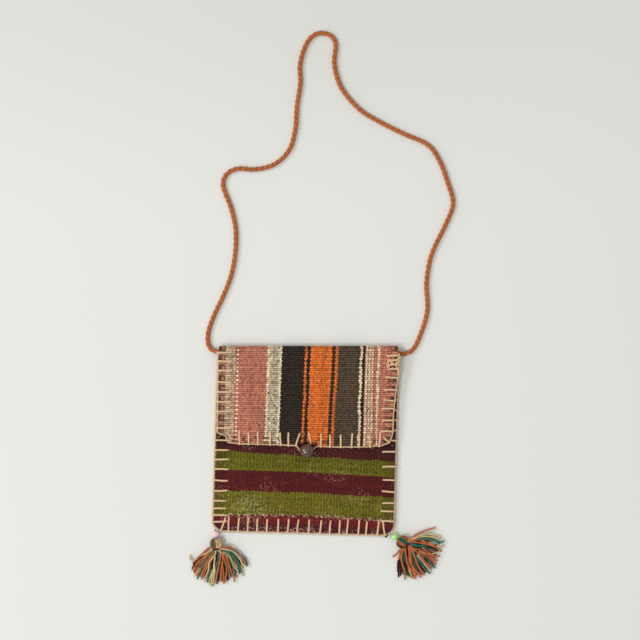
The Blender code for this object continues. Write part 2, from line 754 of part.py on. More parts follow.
def draw_head(bm, start):
    """A barrel of yarn, drawn in at both ends and ribbed by its strands."""
    shares = ((0, 0), (0, 0.35), (0.06, 0.62), (0.25, 0.92), (0.5, 1), (0.75, 0.93), (0.93, 0.7), (1, 0.5), (1, 0))
    profile = [(start + HEAD_LENGTH * along, HEAD_RADIUS * radius) for along, radius in shares]
    steps = 22
    make_turned(bm, profile, steps, Vector((1, 0, 0)), Vector())
    rib = 0.07
    for vert in bm.verts:
        turn = math.atan2(vert.co.y, vert.co.z)
        ridge = 1 - rib * (round(turn / math.tau * steps) % 2)
        vert.co.y *= ridge
        vert.co.z *= ridge * HEAD_HALF_HEIGHT / HEAD_RADIUS
        vert.co.z += HEAD_HALF_HEIGHT + GAP - TASSEL_LINE


def reshape(face, middle, across, width, height):
    """Moves a pushed face's four corners to a rectangle round a middle, keeping each on its own side."""
    old = face.calc_center_median()
    for vert in face.verts:
        shift = vert.co - old
        side = math.copysign(1, shift.dot(across))
        up = math.copysign(1, shift.z)
        vert.co = middle + across * side * width / 2
        vert.co.z += up * height / 2


def draw_skirt(bm, start, bend):
    """A fan of yarn strands in two layers, each pushed out of the hub's round side in three steps.

    A square neck goes back from the hub through the binding to the head.
    """
    floor = GAP - TASSEL_LINE
    layer = HUB_HEIGHT / 2
    back = start + BINDING_WIDTH + GAP * 2
    half = math.radians(FAN_DEGREES / 2)
    centre = Vector((back + HUB_RADIUS * 0.9, 0, floor))
    rims = []
    for number in range(STRANDS + 1):
        turn = bend - half + 2 * half * number / STRANDS
        rims.append(centre + Vector((HUB_RADIUS * math.cos(turn), HUB_RADIUS * math.sin(turn), 0)))
    outline = [Vector((back, NECK_HALF, floor)), Vector((back, -NECK_HALF, floor)), *rims]
    lid = bm.faces.new([bm.verts.new(point) for point in outline])
    for _ in range(2):
        lid, raised = extrude(bm, lid)
        bmesh.ops.translate(bm, vec=(0, 0, layer), verts=raised)
    sideways = Vector((0, 1, 0))
    neck = face_at(bm, Vector((back, 0, floor + layer * 1.5)))
    neck_height = BINDING_RADIUS + GAP - TASSEL_LINE
    for place in (back - GAP, start):
        neck = push(bm, neck, (0, 0, 0))
        reshape(neck, Vector((place, 0, neck_height)), sideways, NECK_HALF * 2, NECK_HALF * 2)
    for level in (0, 1):
        for number in range(STRANDS):
            foot = (rims[number] + rims[number + 1]) / 2 + Vector((0, 0, layer * (level + 1 / 2)))
            strand = face_at(bm, foot)
            stagger = level * half / STRANDS * (1 if number < STRANDS / 2 else -1)
            turn = bend - half + 2 * half * (number + 1 / 2) / STRANDS + stagger
            ragged = 1 - 0.12 * abs(math.sin(number * 2.4 + level)) - 0.1 * level
            for step in (1, 2, 3):
                share = step / 3
                sway = 0.05 * share * math.sin(number * 1.7 + level * 2 + step)
                away = HUB_RADIUS + (SKIRT_LENGTH - HUB_RADIUS) * ragged * share
                direction = Vector((math.cos(turn + sway), math.sin(turn + sway), 0))
                low = foot.z + (floor + STRAND_HEIGHT / 2 + (STRAND_HEIGHT + GAP) * level - foot.z) * share
                middle = centre + direction * away
                middle.z = low
                height = layer + (STRAND_HEIGHT - layer) * share
                width = STRAND_WIDTH * (0.55 + 0.45 * share)
                strand = push(bm, strand, (0, 0, 0))
                reshape(strand, middle, Vector((-direction.y, direction.x, 0)), width, height - GAP * (1 - share))


def make_tassel(side_name, side, degrees, bend_degrees, bead_colour):
    """One corner's tassel: a sewn ball at the corner, a thread, a bead on it, and head, binding and skirt."""
    pivot = corner_pivot(side)
    swing = make_empty(f"{side_name}_tassel_swing", pivot)
    x_axis = Vector((1, 0, 0))

    def place(name, bm, colour, roughness=0.9):
        place_tassel(bm, pivot, degrees)
        return make_object(f"{name}_{side_name}", bm, colour, roughness, swing)

    bm = bmesh.new()
    bmesh.ops.create_icosphere(bm, subdivisions=2, radius=PIVOT_BALL)
    place("tassel_knot", bm, (0.25, 0.05, 0.07))

    bead_start = PIVOT_BALL + GAP
    bead_middle = bead_start + CORNER_BEAD_RADIUS
    head_start = bead_middle + CORNER_BEAD_RADIUS + GAP
    bm = bmesh.new()
    profile = ((bead_start, 0), (bead_start, THREAD_RADIUS), (head_start - GAP, THREAD_RADIUS), (head_start - GAP, 0))
    make_turned(bm, profile, 8, x_axis, Vector())
    place("tassel_thread", bm, (0.25, 0.05, 0.07))

    hole = THREAD_RADIUS + GAP
    start = math.asin(hole / CORNER_BEAD_RADIUS)
    steps = 8
    profile = []
    for step in range(steps + 1):
        turn = start + (math.pi - 2 * start) * step / steps
        profile.append((-CORNER_BEAD_RADIUS * math.cos(turn), CORNER_BEAD_RADIUS * math.sin(turn)))
    profile.append(profile[0])
    bm = bmesh.new()
    make_turned(bm, profile, 14, x_axis, Vector((bead_middle, 0, 0)))
    place("corner_bead", bm, bead_colour, 0.25)

    bm = bmesh.new()
    draw_head(bm, head_start)
    place("tassel_head", bm, (0.42, 0.33, 0.18))

    neck_start = head_start + HEAD_LENGTH + GAP
    bm = bmesh.new()
    inner, outer = NECK_HALF * math.sqrt(2) + GAP, BINDING_RADIUS
    ring = ((0, inner), (0, outer - GAP), (GAP, outer), (BINDING_WIDTH - GAP, outer))
    ring += ((BINDING_WIDTH, outer - GAP), (BINDING_WIDTH, inner), (0, inner))
    make_turned(bm, [(neck_start + along, radius) for along, radius in ring], 16, x_axis, Vector())
    for vert in bm.verts:
        vert.co.z += BINDING_RADIUS + GAP - TASSEL_LINE
    place("tassel_binding", bm, (0.40, 0.13, 0.05))

    bm = bmesh.new()
    draw_skirt(bm, neck_start, math.radians(bend_degrees))
    place("tassel_skirt", bm, (0.48, 0.17, 0.07))


def main():
    clear_scene()
    yarn = (0.72, 0.48, 0.26)
    fold_hinge = make_empty("fold_hinge", Vector((0, HINGE_Y, FOLD_HINGE_Z)))
    flap_hinge = make_empty("flap_hinge", Vector((0, HINGE_Y, FLAP_HINGE_Z)))
    button_axis = make_empty("button_axis", Vector((BUTTON_X, BUTTON_Y, FRONT_TOP)))
    make_back_panel()
    make_front_panel()
    make_flap_fold(fold_hinge)
    make_flap_panel(flap_hinge)
    make_linings(flap_hinge)
    make_pocket_stitching(yarn)
    make_flap_stitching(flap_hinge, yarn)
    make_strap()
    make_button(button_axis)
    make_closure_loop(flap_hinge)
    make_tassel("left", -1, LEFT_TASSEL_DEGREES, LEFT_SKIRT_BEND_DEGREES, (0.90, 0.55, 0.68))
    make_tassel("right", 1, RIGHT_TASSEL_DEGREES, RIGHT_SKIRT_BEND_DEGREES, (0.28, 0.70, 0.18))


main()
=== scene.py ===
# %% [markdown]
# # A kilim shoulder bag
#
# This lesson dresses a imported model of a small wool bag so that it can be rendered. The bag lies on
# its back on a pale table, photographed from straight above. A kilim is a flat-woven rug: its wool
# wefts are beaten down until they hide the warps, so the cloth shows ribs and bands of colour. The
# bag is cut from such cloth, edged with blanket stitch, closed by a ball button and a yarn loop, and
# hung from a twisted cord. We start by loading the solids, which hold every size and every joint.

# %% Load the solids
import json
import math
import random

import bmesh
import bpy
from mathutils import Matrix, Vector, noise


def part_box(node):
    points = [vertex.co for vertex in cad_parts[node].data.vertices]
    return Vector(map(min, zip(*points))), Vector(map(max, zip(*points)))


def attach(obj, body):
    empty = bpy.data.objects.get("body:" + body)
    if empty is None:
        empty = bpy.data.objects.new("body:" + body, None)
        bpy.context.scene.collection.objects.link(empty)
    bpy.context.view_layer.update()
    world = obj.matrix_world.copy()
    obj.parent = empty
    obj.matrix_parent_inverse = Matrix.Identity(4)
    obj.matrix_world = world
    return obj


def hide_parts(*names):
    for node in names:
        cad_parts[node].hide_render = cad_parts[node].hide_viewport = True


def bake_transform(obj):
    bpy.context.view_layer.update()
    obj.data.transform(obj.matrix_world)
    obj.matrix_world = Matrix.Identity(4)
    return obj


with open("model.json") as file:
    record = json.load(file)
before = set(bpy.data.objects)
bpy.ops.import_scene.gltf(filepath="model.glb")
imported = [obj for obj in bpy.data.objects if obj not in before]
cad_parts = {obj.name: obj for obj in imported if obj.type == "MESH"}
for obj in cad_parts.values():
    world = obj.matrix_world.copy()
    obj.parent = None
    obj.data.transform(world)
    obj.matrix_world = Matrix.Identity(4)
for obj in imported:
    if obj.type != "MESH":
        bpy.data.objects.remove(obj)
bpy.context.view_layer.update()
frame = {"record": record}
joints = {joint["name"]: joint for joint in frame["record"]["behaviour"]["joints"]}

# %% [markdown]
# ## The camera and the light
#
# The camera looks straight down from two metres, far enough that the cord and the bag show hardly
# any perspective. One large soft lamp stands towards the lower left, so the shadows fall up and to the
# right, and the world fills them. Three small lamps add the other highlights that the button shows.
# Together they light a white card to just under white, so that a colour renders about as it is
# written.

# %% Camera
MM = 0.001
VIEW_WIDTH = 672 * MM
VIEW_MIDDLE = Vector((14.9 * MM, 125.6 * MM, 0))
CAMERA_HEIGHT = 2.0
SENSOR_WIDTH = 36


def put_in_scene(name, data):
    """An object that shows a camera, a lamp, a mesh or a curve."""
    thing = bpy.data.objects.new(name, data)
    bpy.context.scene.collection.objects.link(thing)
    return thing


camera = put_in_scene("camera", bpy.data.cameras.new("camera"))
camera.location = VIEW_MIDDLE + Vector((0, 0, CAMERA_HEIGHT))
camera.data.sensor_width = SENSOR_WIDTH
camera.data.lens = SENSOR_WIDTH * CAMERA_HEIGHT / VIEW_WIDTH
bpy.context.scene.camera = camera
bpy.context.scene.view_settings.view_transform = "Standard"

# %% Lamps and world
# Each round lamp's name, place, size and power. They all face the bag.
LAMPS = (
    ("window_light", (-1.35, -0.95, 3.0), 1.0, 33),
    ("small_glint", (-2.78, 0.99, 2.5), 0.95, 38),
    ("small_glint", (0.61, 1.5, 3.52), 0.72, 10),
    ("small_glint", (-2.72, -1.84, 1.92), 0.72, 10),
)
ROOM_LIGHT = 0.468

for name, place, size, power in LAMPS:
    lamp = put_in_scene(name, bpy.data.lights.new(name, "AREA"))
    lamp.data.shape = "DISK"
    lamp.data.size = size
    lamp.data.energy = power
    lamp.location = place
    lamp.rotation_euler = (-Vector(place)).to_track_quat("-Z", "Y").to_euler()

world = bpy.data.worlds.new("room")
world.use_nodes = True
sky = world.node_tree.nodes["Background"].inputs
sky["Color"].default_value = (1.0, 0.995, 0.98, 1)
sky["Strength"].default_value = ROOM_LIGHT
bpy.context.scene.world = world

# %% [markdown]
# ## Writing shader sums in Python
#
# A material is a graph of nodes, and sums drawn as nodes are hard to read. So one small class wraps
# a socket and lets `+ - * /` add the Math nodes, and a `Finish` holds one material while it is wired.
# Its `add` is the single way in for every other node: settings first, then what its sockets get.


# %% A socket that takes part in sums
class Flow:
    """What comes out of a node's socket. Sums of flows and numbers add Math nodes."""

    def __init__(self, finish, socket):
        self.finish, self.socket = finish, socket

    def __add__(self, other):
        return self.finish.sum("ADD", self, other)

    def __sub__(self, other):
        return self.finish.sum("SUBTRACT", self, other)

    def __mul__(self, other):
        return self.finish.sum("MULTIPLY", self, other)

    def __truediv__(self, other):
        return self.finish.sum("DIVIDE", self, other)

    def __rsub__(self, other):
        return self.finish.sum("SUBTRACT", other, self)

    __radd__ = __add__
    __rmul__ = __mul__


# %% One material while it is wired
class Finish:
    """A material and the short words used to wire it."""

    def __init__(self, name, roughness=0.85, **constants):
        self.material = bpy.data.materials.new(name)
        self.material.use_nodes = True
        self.tree = self.material.node_tree
        self.shader = self.tree.nodes["Principled BSDF"]
        self.shader.inputs["Roughness"].default_value = roughness
        for socket, value in constants.items():
            self.shader.inputs[socket.replace("_", " ")].default_value = value

    def add(self, kind, values, output=0, **settings):
        """A node of this kind with its settings, then what its sockets get."""
        node = self.tree.nodes.new(kind)
        for name, value in settings.items():
            if name == "stops":
                self.set_stops(node.color_ramp, value)
            elif name == "interpolation" and kind == "ShaderNodeValToRGB":
                node.color_ramp.interpolation = value
            else:
                setattr(node, name, value)
        for key, value in values.items():
            self.feed(node.inputs[key], value)
        return Flow(self, node.outputs[output])

    def set_stops(self, ramp, stops):
        while len(ramp.elements) < len(stops):
            ramp.elements.new(1)
        for element, (place, colour) in zip(ramp.elements, stops):
            element.position = place
            element.color = colour

    def feed(self, socket, value):
        if isinstance(value, Flow):
            self.tree.links.new(value.socket, socket)
        else:
            socket.default_value = value

    def sum(self, operation, *values):
        return self.add("ShaderNodeMath", dict(enumerate(values)), operation=operation)

    def split(self, vector):
        node = self.add("ShaderNodeSeparateXYZ", {0: vector}).socket.node
        return [Flow(self, output) for output in node.outputs]

    def join(self, x, y, z=0):
        return self.add("ShaderNodeCombineXYZ", {0: x, 1: y, 2: z})

    def attribute(self, name, output=1):
        """What a piece's points carry: output 1 is a vector and output 2 a number."""
        return self.add("ShaderNodeAttribute", {}, output=output, attribute_name=name)

    def place(self):
        """Where a point is, in the object's own coordinates."""
        return self.add("ShaderNodeTexCoord", {}, output=3)

    def distance(self, first, second):
        return self.add(
            "ShaderNodeVectorMath", {0: first, 1: second}, output=1, operation="DISTANCE"
        )

    def noise(self, vector, scale, detail=2, roughness=0.5):
        return self.add(
            "ShaderNodeTexNoise",
            {"Vector": vector, "Scale": scale, "Detail": detail, "Roughness": roughness},
        )

    def chance(self, vector):
        """A number from 0 to 1 that is the same all over one cell."""
        return self.add("ShaderNodeTexWhiteNoise", {0: vector}, noise_dimensions="3D")

    def ramp(self, factor, stops, interpolation="LINEAR"):
        return self.add("ShaderNodeValToRGB", {0: factor}, stops=stops, interpolation=interpolation)

    def band(self, value, low, high):
        """0 below low and 1 above high, eased in between, or the other way round if high is less."""
        sockets = {0: value, 1: low, 2: high, 3: 0, 4: 1}
        return self.add("ShaderNodeMapRange", sockets, interpolation_type="SMOOTHSTEP")

    def stripe(self, value, middle, outer, inner):
        """1 where a value is within inner of the middle, eased to 0 at outer."""
        return self.band(self.sum("ABSOLUTE", value - middle), outer, inner)

    def mix(self, factor, first, second):
        sockets = {0: factor, 6: first, 7: second}
        return self.add("ShaderNodeMix", sockets, output=2, data_type="RGBA")

    def shade(self, colour, amount):
        """A colour made darker or lighter by a number."""
        colour = colour if isinstance(colour, Flow) else colour[:3]
        return self.add("ShaderNodeVectorMath", {0: colour, 3: amount}, operation="SCALE")

    def colour(self, value):
        self.feed(self.shader.inputs["Base Color"], value)

    def relief(self, height, distance, strength):
        sockets = {"Height": height, "Distance": distance, "Strength": strength}
        self.feed(self.shader.inputs["Normal"], self.add("ShaderNodeBump", sockets))


def tone(red, green, blue):
    """A colour in everyday 0 to 255 numbers, made linear for the shader."""
    linear = []
    for part in (red, green, blue):
        share = part / 255
        linear.append(share / 12.92 if share <= 0.04045 else ((share + 0.055) / 1.055) ** 2.4)
    return (*linear, 1)


# %% [markdown]
# ## The table
#
# The bag lies on a plain pale sheet. Painted shade makes its colour a little darker towards the
# upper left, as in the photograph, and fine grain keeps it from looking like empty space. The last
# step, from a bmesh to an object with its finish, is the same for every piece made by bmesh
# operators, so it gets a function of its own.

# %% From a bmesh to a piece
def as_piece(bm, name, finish, sharp=60):
    """A bmesh as a smooth piece. Edges that turn by more than the sharp angle, in degrees, stay."""
    for face in bm.faces:
        face.smooth = True
    mesh = bpy.data.meshes.new(name)
    bm.to_mesh(mesh)
    bm.free()
    mesh.set_sharp_from_angle(angle=math.radians(sharp))
    mesh.materials.append(finish.material)
    return put_in_scene(name, mesh)


# %% Table
TABLE_SIZE = 3


def make_table():
    paper = Finish("pale_paper", roughness=0.9)
    x, y, _ = paper.split(paper.place())
    # Painted shade: the sheet's colour darkens towards the upper left.
    far = paper.band(y, 0.2, 0.5) * (1 - paper.band(x, 0.05, 0.35) * 0.5)
    grain = paper.noise(paper.place(), 900, detail=2)
    paper.colour(paper.mix(far, tone(232, 233, 228), tone(222, 223, 217)))
    paper.relief(grain, 0.05 * MM, 0.3)
    bm = bmesh.new()
    bmesh.ops.create_grid(bm, x_segments=1, y_segments=1, size=TABLE_SIZE)
    as_piece(bm, "table", paper)


make_table()

# %% [markdown]
# ## The strap: a two-ply cord
#
# The strap is two thick strands of rust-orange wool twisted round each other, as the dark spots along
# it show. A tube with a twisted texture would keep a round outline, so each ply is a real tube that
# winds round the cord's route, and the outline gets the bumps of the plies. The route is the one that
# the solids follow: out of one end of the fold, down to the table, round in a loose loop and back.

# %% Routes and windings
def smooth(points, spacing):
    """Evenly spaced points on a smooth curve through the given ones."""
    points = [Vector(point) for point in points]
    ends = [points[0] * 2 - points[1], *points, points[-1] * 2 - points[-2]]
    fine = []
    for a, b, c, d in zip(ends, ends[1:], ends[2:], ends[3:]):
        steps = max(4, math.ceil((c - b).length / spacing * 2))
        for step in range(steps):
            t = step / steps
            fine.append((
                b * 2 + (c - a) * t + (a * 2 - b * 5 + c * 4 - d) * t * t
                + (b * 3 - a - c * 3 + d) * t * t * t
            ) / 2)
    fine.append(points[-1])
    reach = [0]
    for first, second in zip(fine, fine[1:]):
        reach.append(reach[-1] + (second - first).length)
    count = max(2, round(reach[-1] / spacing) + 1)
    even, index = [], 0
    for number in range(count):
        wanted = reach[-1] * number / (count - 1)
        while index < len(fine) - 2 and reach[index + 1] < wanted:
            index += 1
        share = (wanted - reach[index]) / max(reach[index + 1] - reach[index], 1e-9)
        even.append(fine[index].lerp(fine[index + 1], share))
    return even


def wind(route, offset, pitch, turn, flat=1.0):
    """A strand that winds round a route, once in each pitch, and the route itself. flat presses the
    winding down."""
    wound, along = [], 0
    tangent = (route[1] - route[0]).normalized()
    side = tangent.orthogonal().normalized()
    for index, point in enumerate(route):
        before, after = route[max(index - 1, 0)], route[min(index + 1, len(route) - 1)]
        fresh = (after - before).normalized()
        side = (side - fresh * side.dot(fresh)).normalized()
        up = fresh.cross(side)
        if index:
            along += (point - route[index - 1]).length
        angle = math.tau * (along / pitch + turn)
        around = (side * math.cos(angle) + up * math.sin(angle)) * offset
        wound.append(point + Vector((around.x, around.y, around.z * flat)))
    return wound, route


# %% Tubes
def tubes(name, strands, radius, rounding, finish):
    """Round strands as one mesh. A strand is its points and those of the core that it winds round.

    The attribute yarn holds how far along its strand each point is, where round it, and a number of
    the strand's own. The attribute groove runs from -1 to 1, where the strand faces its core."""
    curve = bpy.data.curves.new(name, "CURVE")
    curve.dimensions = "3D"
    curve.bevel_depth = radius
    curve.bevel_resolution = rounding
    for strand, _ in strands:
        spline = curve.splines.new("POLY")
        spline.points.add(len(strand) - 1)
        for point, place in zip(spline.points, strand):
            point.co = (*place, 1)
    drawn = put_in_scene(name, curve)
    graph = bpy.context.evaluated_depsgraph_get()
    mesh = bpy.data.meshes.new_from_object(drawn.evaluated_get(graph))
    bpy.data.objects.remove(drawn)
    bpy.data.curves.remove(curve)
    bm = bmesh.new()
    bm.from_mesh(mesh)
    bmesh.ops.holes_fill(bm, edges=[edge for edge in bm.edges if edge.is_boundary], sides=0)
    bmesh.ops.recalc_face_normals(bm, faces=bm.faces)
    bm.to_mesh(mesh)
    bm.free()
    round_points = 4 + 2 * rounding
    values, grooves = [], []
    for number, (strand, core) in enumerate(strands):
        own = noise.cell(Vector((number * 1.37, 0.5, 0.5))) / 2 + 0.5
        along = 0
        for index, place in enumerate(strand):
            if index:
                along += (place - strand[index - 1]).length
            inward = (core[index] - place).normalized()
            for corner in range(round_points):
                facing = (mesh.vertices[len(grooves)].co - place).normalized()
                values += [along, corner / round_points, own]
                grooves.append(facing.dot(inward))
    mesh.attributes.new("yarn", "FLOAT_VECTOR", "POINT").data.foreach_set("vector", values)
    mesh.attributes.new("groove", "FLOAT", "POINT").data.foreach_set("value", grooves)
    mesh.shade_smooth()
    mesh.materials.clear()
    mesh.materials.append(finish.material)
    return put_in_scene(name, mesh)


def plied(routes, thickness, pitch, plies=2, flat=1.0):
    """The strands of a plied yarn along each route."""
    strands = []
    for number, route in enumerate(routes):
        start = noise.cell(Vector((number * 2.1, 3.5, 0.5)))
        for ply in range(plies):
            strands.append(wind(route, thickness * 0.25, pitch, start + ply / plies, flat))
    return strands


def full_turn(steps):
    """The angles of one turn in even steps, both ends included."""
    return [math.tau * step / steps for step in range(steps + 1)]


def dress(piece, body, slot, *nodes):
    """The body that a piece rides on, the finish slot that it takes, which is not used, and the solids
    that it stands for.
    """
    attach(piece, body)
    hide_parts(*nodes)


# %% [markdown]
# ### Wool
#
# Dyed wool is never one colour. The fibres of a strand lie along it in lighter and darker streaks,
# each strand took the dye a little differently, little light reaches the grooves between plies, and a
# haze of loose fibre catches the light. The first three read the attributes that `tubes` leaves on its
# meshes, and sheen stands for the last.

# %% Wool finishes
def make_wool(name, colour, streak=0.22, groove=0.4, own_dye=0.3):
    wool = Finish(name, roughness=0.9, Sheen_Weight=0.06, Sheen_Roughness=0.5, Specular_IOR_Level=0.2)
    along, round_, own = wool.split(wool.attribute("yarn"))
    drawn_out = wool.join(along * 300 + round_ * 5, round_ * 9, own * 40)
    fibres = wool.noise(drawn_out, 1.0, detail=3, roughness=0.65)
    patches = wool.noise(wool.place(), 90, detail=1)
    fine = wool.noise(wool.place(), 2600, detail=2)
    level = 1 + (fibres - 0.5) * streak * 2 + (own - 0.5) * own_dye + (patches - 0.5) * streak
    shaded = 1 - wool.band(wool.attribute("groove", 2), -0.2, 0.6) * groove
    wool.colour(wool.shade(colour, level * shaded))
    wool.relief(fibres + fine * 0.5, 0.25 * MM, 0.6)
    return wool


rust_wool = make_wool("rust_wool", tone(190, 106, 60), own_dye=0.5)
teal_wool = make_wool("teal_wool", tone(56, 106, 90), own_dye=0.8)
khaki_wool = make_wool("khaki_wool", tone(208, 186, 136), own_dye=0.4)
brown_wool = make_wool("brown_wool", tone(52, 28, 18))
tan_yarn = make_wool("tan_yarn", tone(232, 198, 156), streak=0.2, own_dye=0.16)
cord_wool = make_wool("cord_wool", tone(184, 106, 60), streak=0.35, groove=0.7, own_dye=0)
maroon_thread = make_wool("maroon_thread", tone(92, 26, 40))
red_thread = make_wool("red_thread", tone(184, 80, 70))

# %% The strap
CORD_DIAMETER = 4.7 * MM
CORD_PITCH = 11.6 * MM
CORD_HEIGHT_MM = 2.4
CORD_LEFT_END_MM = (
    (-85.3, 91.7, 6.3), (-92.5, 92.4, 5.3), (-99.2, 94.8, 3.0),
)
CORD_LOOP_MM = (
    (-102.7, 102.5), (-102.0, 114.0), (-96.0, 131.0), (-87.0, 150.0), (-78.5, 172.0),
    (-74.0, 197.0), (-73.7, 221.0), (-78.5, 243.0), (-86.7, 266.0), (-83.0, 278.5),
    (-71.0, 284.2), (-52.9, 283.5), (-33.0, 288.8), (-17.7, 303.6), (-11.2, 325.0), (-9.3, 350.0),
    (-5.8, 374.0), (-6.0, 394.0), (0.5, 415.0), (11.0, 425.6), (24.5, 424.7), (31.2, 415.0),
    (29.9, 394.0), (37.0, 369.5), (55.8, 346.9), (77.0, 333.6), (102.0, 321.1), (127.5, 309.5),
    (140.2, 292.5), (149.2, 268.4), (154.3, 247.5), (147.2, 227.0), (132.0, 194.5),
    (126.5, 165.0), (127.0, 133.0), (115.0, 98.5),
)
CORD_RIGHT_END_MM = (
    (104.0, 90.3, 3.4), (97.5, 90.8, 4.8), (90.9, 91.4, 6.3),
)
CORD_ROUTE = [
    (x * MM, y * MM, z * MM) for x, y, z in (
        *CORD_LEFT_END_MM, *((x, y, CORD_HEIGHT_MM) for x, y in CORD_LOOP_MM), *CORD_RIGHT_END_MM
    )
]


def make_strap():
    route = smooth(CORD_ROUTE, 1.0 * MM)
    length = sum((b - a).length for a, b in zip(route, route[1:]))
    strands = [wind(route, CORD_DIAMETER * 0.2, -CORD_PITCH, turn, flat=0.8) for turn in (0, 0.5)]
    strap = tubes("strap", strands, CORD_DIAMETER * 0.34, 4, cord_wool)
    dress(strap, "bag", "twisted_cord", "strap_cord")
    print(f"strap: {length:.3f} m long, from two plies that turn once in {CORD_PITCH * 1000:.1f} mm")


make_strap()

# %% [markdown]
# ### The cord's ends
#
# Each end of the cord goes into the open end of the fold and is knotted there, out of sight until the
# flap is lifted. The knot is a short length of the same cord wound round itself.

# %% Knots in the fold
def make_strap_knots():
    for side in ("left", "right"):
        low, high = (Vector(corner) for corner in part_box(f"strap_knot_{side}"))
        middle, radius = (low + high) / 2, (high.z - low.z) / 2
        loops = []
        for tilt in (-0.6, 0.6):
            turned = Matrix.Rotation(tilt, 3, "Z")
            ring = []
            for turn in full_turn(24):
                upright = Vector((0, math.cos(turn), math.sin(turn))) * radius * 0.6
                ring.append(middle + turned @ upright)
            loops.append(smooth(ring, 0.7 * MM))
        strands = [strand for loop in loops for strand in plied([loop], radius * 0.8, 6 * MM)]
        knot = tubes(f"cord_knot_{side}", strands, radius * 0.26, 2, cord_wool)
        dress(knot, "bag", "twisted_cord", f"strap_knot_{side}")


make_strap_knots()

# %% [markdown]
# ## The cloth's shape
#
# The pattern is drawn straight, and `lean` puts it where hand sewing left it: the bag leans a few
# millimetres to the right, and its lower edge drops towards the right. Every piece of cloth and every
# stitch takes its height from the same few functions, so they stay on each other. The sizes are the
# solids' own.

# %% The pattern
# The bag, how far it leans, how much its lower edge drops, and its rounded lower corners.
BAG_WIDTH, BAG_HEIGHT = 191.6 * MM, 197.1 * MM
LEAN, BOTTOM_DROP = 6.0 * MM, 5.2 * MM
CORNER_WIDE, CORNER_HIGH = 12.0 * MM, 9.0 * MM
# How thick the cloths and yarns are, and the air between them.
KILIM, LINING, GAP = 1.8 * MM, 0.4 * MM, 0.3 * MM
YARN, STITCH = 1.6 * MM, 2.0 * MM
# The sewn-down border, the slope from it to the middle, and the heights of both.
BORDER, SLOPE = 14.5 * MM, 20.0 * MM
FLAP_TOP = 13.0 * MM
FLAP_BASE = FLAP_TOP - KILIM
FRONT_BASE, FRONT_BORDER_BASE = 7.8 * MM, 3.4 * MM
BACK_BORDER_BASE, FLAP_BORDER_BASE = 1.3 * MM, 8.1 * MM
# The fold over the top, the panels between it and the stitches, and the flap.
FOLD_OUTER = FLAP_TOP / 2
FOLD_MIDDLE = FOLD_OUTER - KILIM / 2
FOLD_START = BAG_HEIGHT / 2 - FOLD_OUTER
PANEL_HALF = BAG_WIDTH / 2 - YARN - GAP
PANEL_BOTTOM = -BAG_HEIGHT / 2 + YARN + GAP
MOUTH = FOLD_START - 6.0 * MM
FLAP_HALF = PANEL_HALF - 0.5 * MM
FLAP_DOWN = 95.5 * MM
FLAP_END = FOLD_START - FLAP_DOWN
# The flap's corners, with the share of each that is cut at the left (-1) and the right (1), the
# scallop's radius, and how far the lower edge dips at each place across.
FLAP_CORNER = 11.0 * MM
CORNER_CUT = {-1: 0.72, 1: 0.28}
SCALLOP = 8.5 * MM
FLAP_DIP_MM = (
    (-93, 2.2), (-82, 1.0), (-68, 0), (-30, -0.4), (-16, -0.9), (15, -1.7), (35, -1.8), (61, -1.4),
    (78, -0.4), (93, 0),
)
BUTTON = Vector((1.2 * MM, -10.6 * MM, 20.0 * MM))
SLACK_WAVES, SLACK_HEIGHT = 22, 0.45 * MM


def ease(share):
    """0 to 1, starting and ending gently."""
    share = min(max(share, 0), 1)
    return share * share * (3 - 2 * share)


def lean(point):
    """From the straight pattern to where the point is on the bag."""
    up = point.y / BAG_HEIGHT + 1 / 2
    drop = BOTTOM_DROP * (point.x / BAG_WIDTH) * (1 - up)
    return Vector((point.x + LEAN * (up - 1 / 2), point.y - drop, point.z))


def between_sides(x):
    """0 in the sewn borders at the sides and 1 where the cloth stands free of them."""
    return ease((PANEL_HALF - BORDER - abs(x)) / SLOPE)


def inside(x, y):
    """The same, and 0 in the lower border too."""
    return between_sides(x) * ease((y - PANEL_BOTTOM - BORDER) / SLOPE)


def slack(x, y, seed):
    """The small rises and dips of cloth that has been handled, none over half a millimetre."""
    return noise.noise(Vector((x * SLACK_WAVES, y * SLACK_WAVES, seed))) * SLACK_HEIGHT


def back_middle(x, y):
    lifted = (1 - inside(x, y)) * ease((FOLD_START - y) / (8 * MM))
    return KILIM / 2 + BACK_BORDER_BASE * lifted


def front_middle(x, y):
    rise = (FRONT_BASE - FRONT_BORDER_BASE) * inside(x, y)
    return FRONT_BORDER_BASE + KILIM / 2 + rise


def flap_middle(x, y):
    droop = (1 - between_sides(x)) * ease((FOLD_START - y) / (30 * MM))
    return FLAP_BASE + KILIM / 2 - (FLAP_BASE - FLAP_BORDER_BASE) * droop


def flap_side(y, side):
    """How far the flap's left or right edge is from the middle. The right one draws in more."""
    down = min(max((FOLD_START - y) / FLAP_DOWN, 0), 1)
    if side < 0:
        return FLAP_HALF - 2.0 * MM * down
    return FLAP_HALF - (1.0 * MM * down + 3.0 * MM * ease((down - 0.2) / 0.5))


def flap_end(x):
    """Where the flap's lower edge is. It dips a little, and is scalloped round the ball."""
    dips = [(place * MM, dip * MM) for place, dip in FLAP_DIP_MM]
    x = min(max(x, dips[0][0]), dips[-1][0])
    low, high = next(pair for pair in zip(dips, dips[1:]) if x <= pair[1][0])
    end = FLAP_END + low[1] + (high[1] - low[1]) * ease((x - low[0]) / (high[0] - low[0]))
    reach, blend = abs(x - BUTTON.x), 1.2 * MM
    if reach > SCALLOP:
        return end
    top = BUTTON.y + math.sqrt(SCALLOP ** 2 - reach ** 2)
    return max(end, top) + max(blend - abs(end - top), 0) ** 2 / (4 * blend)


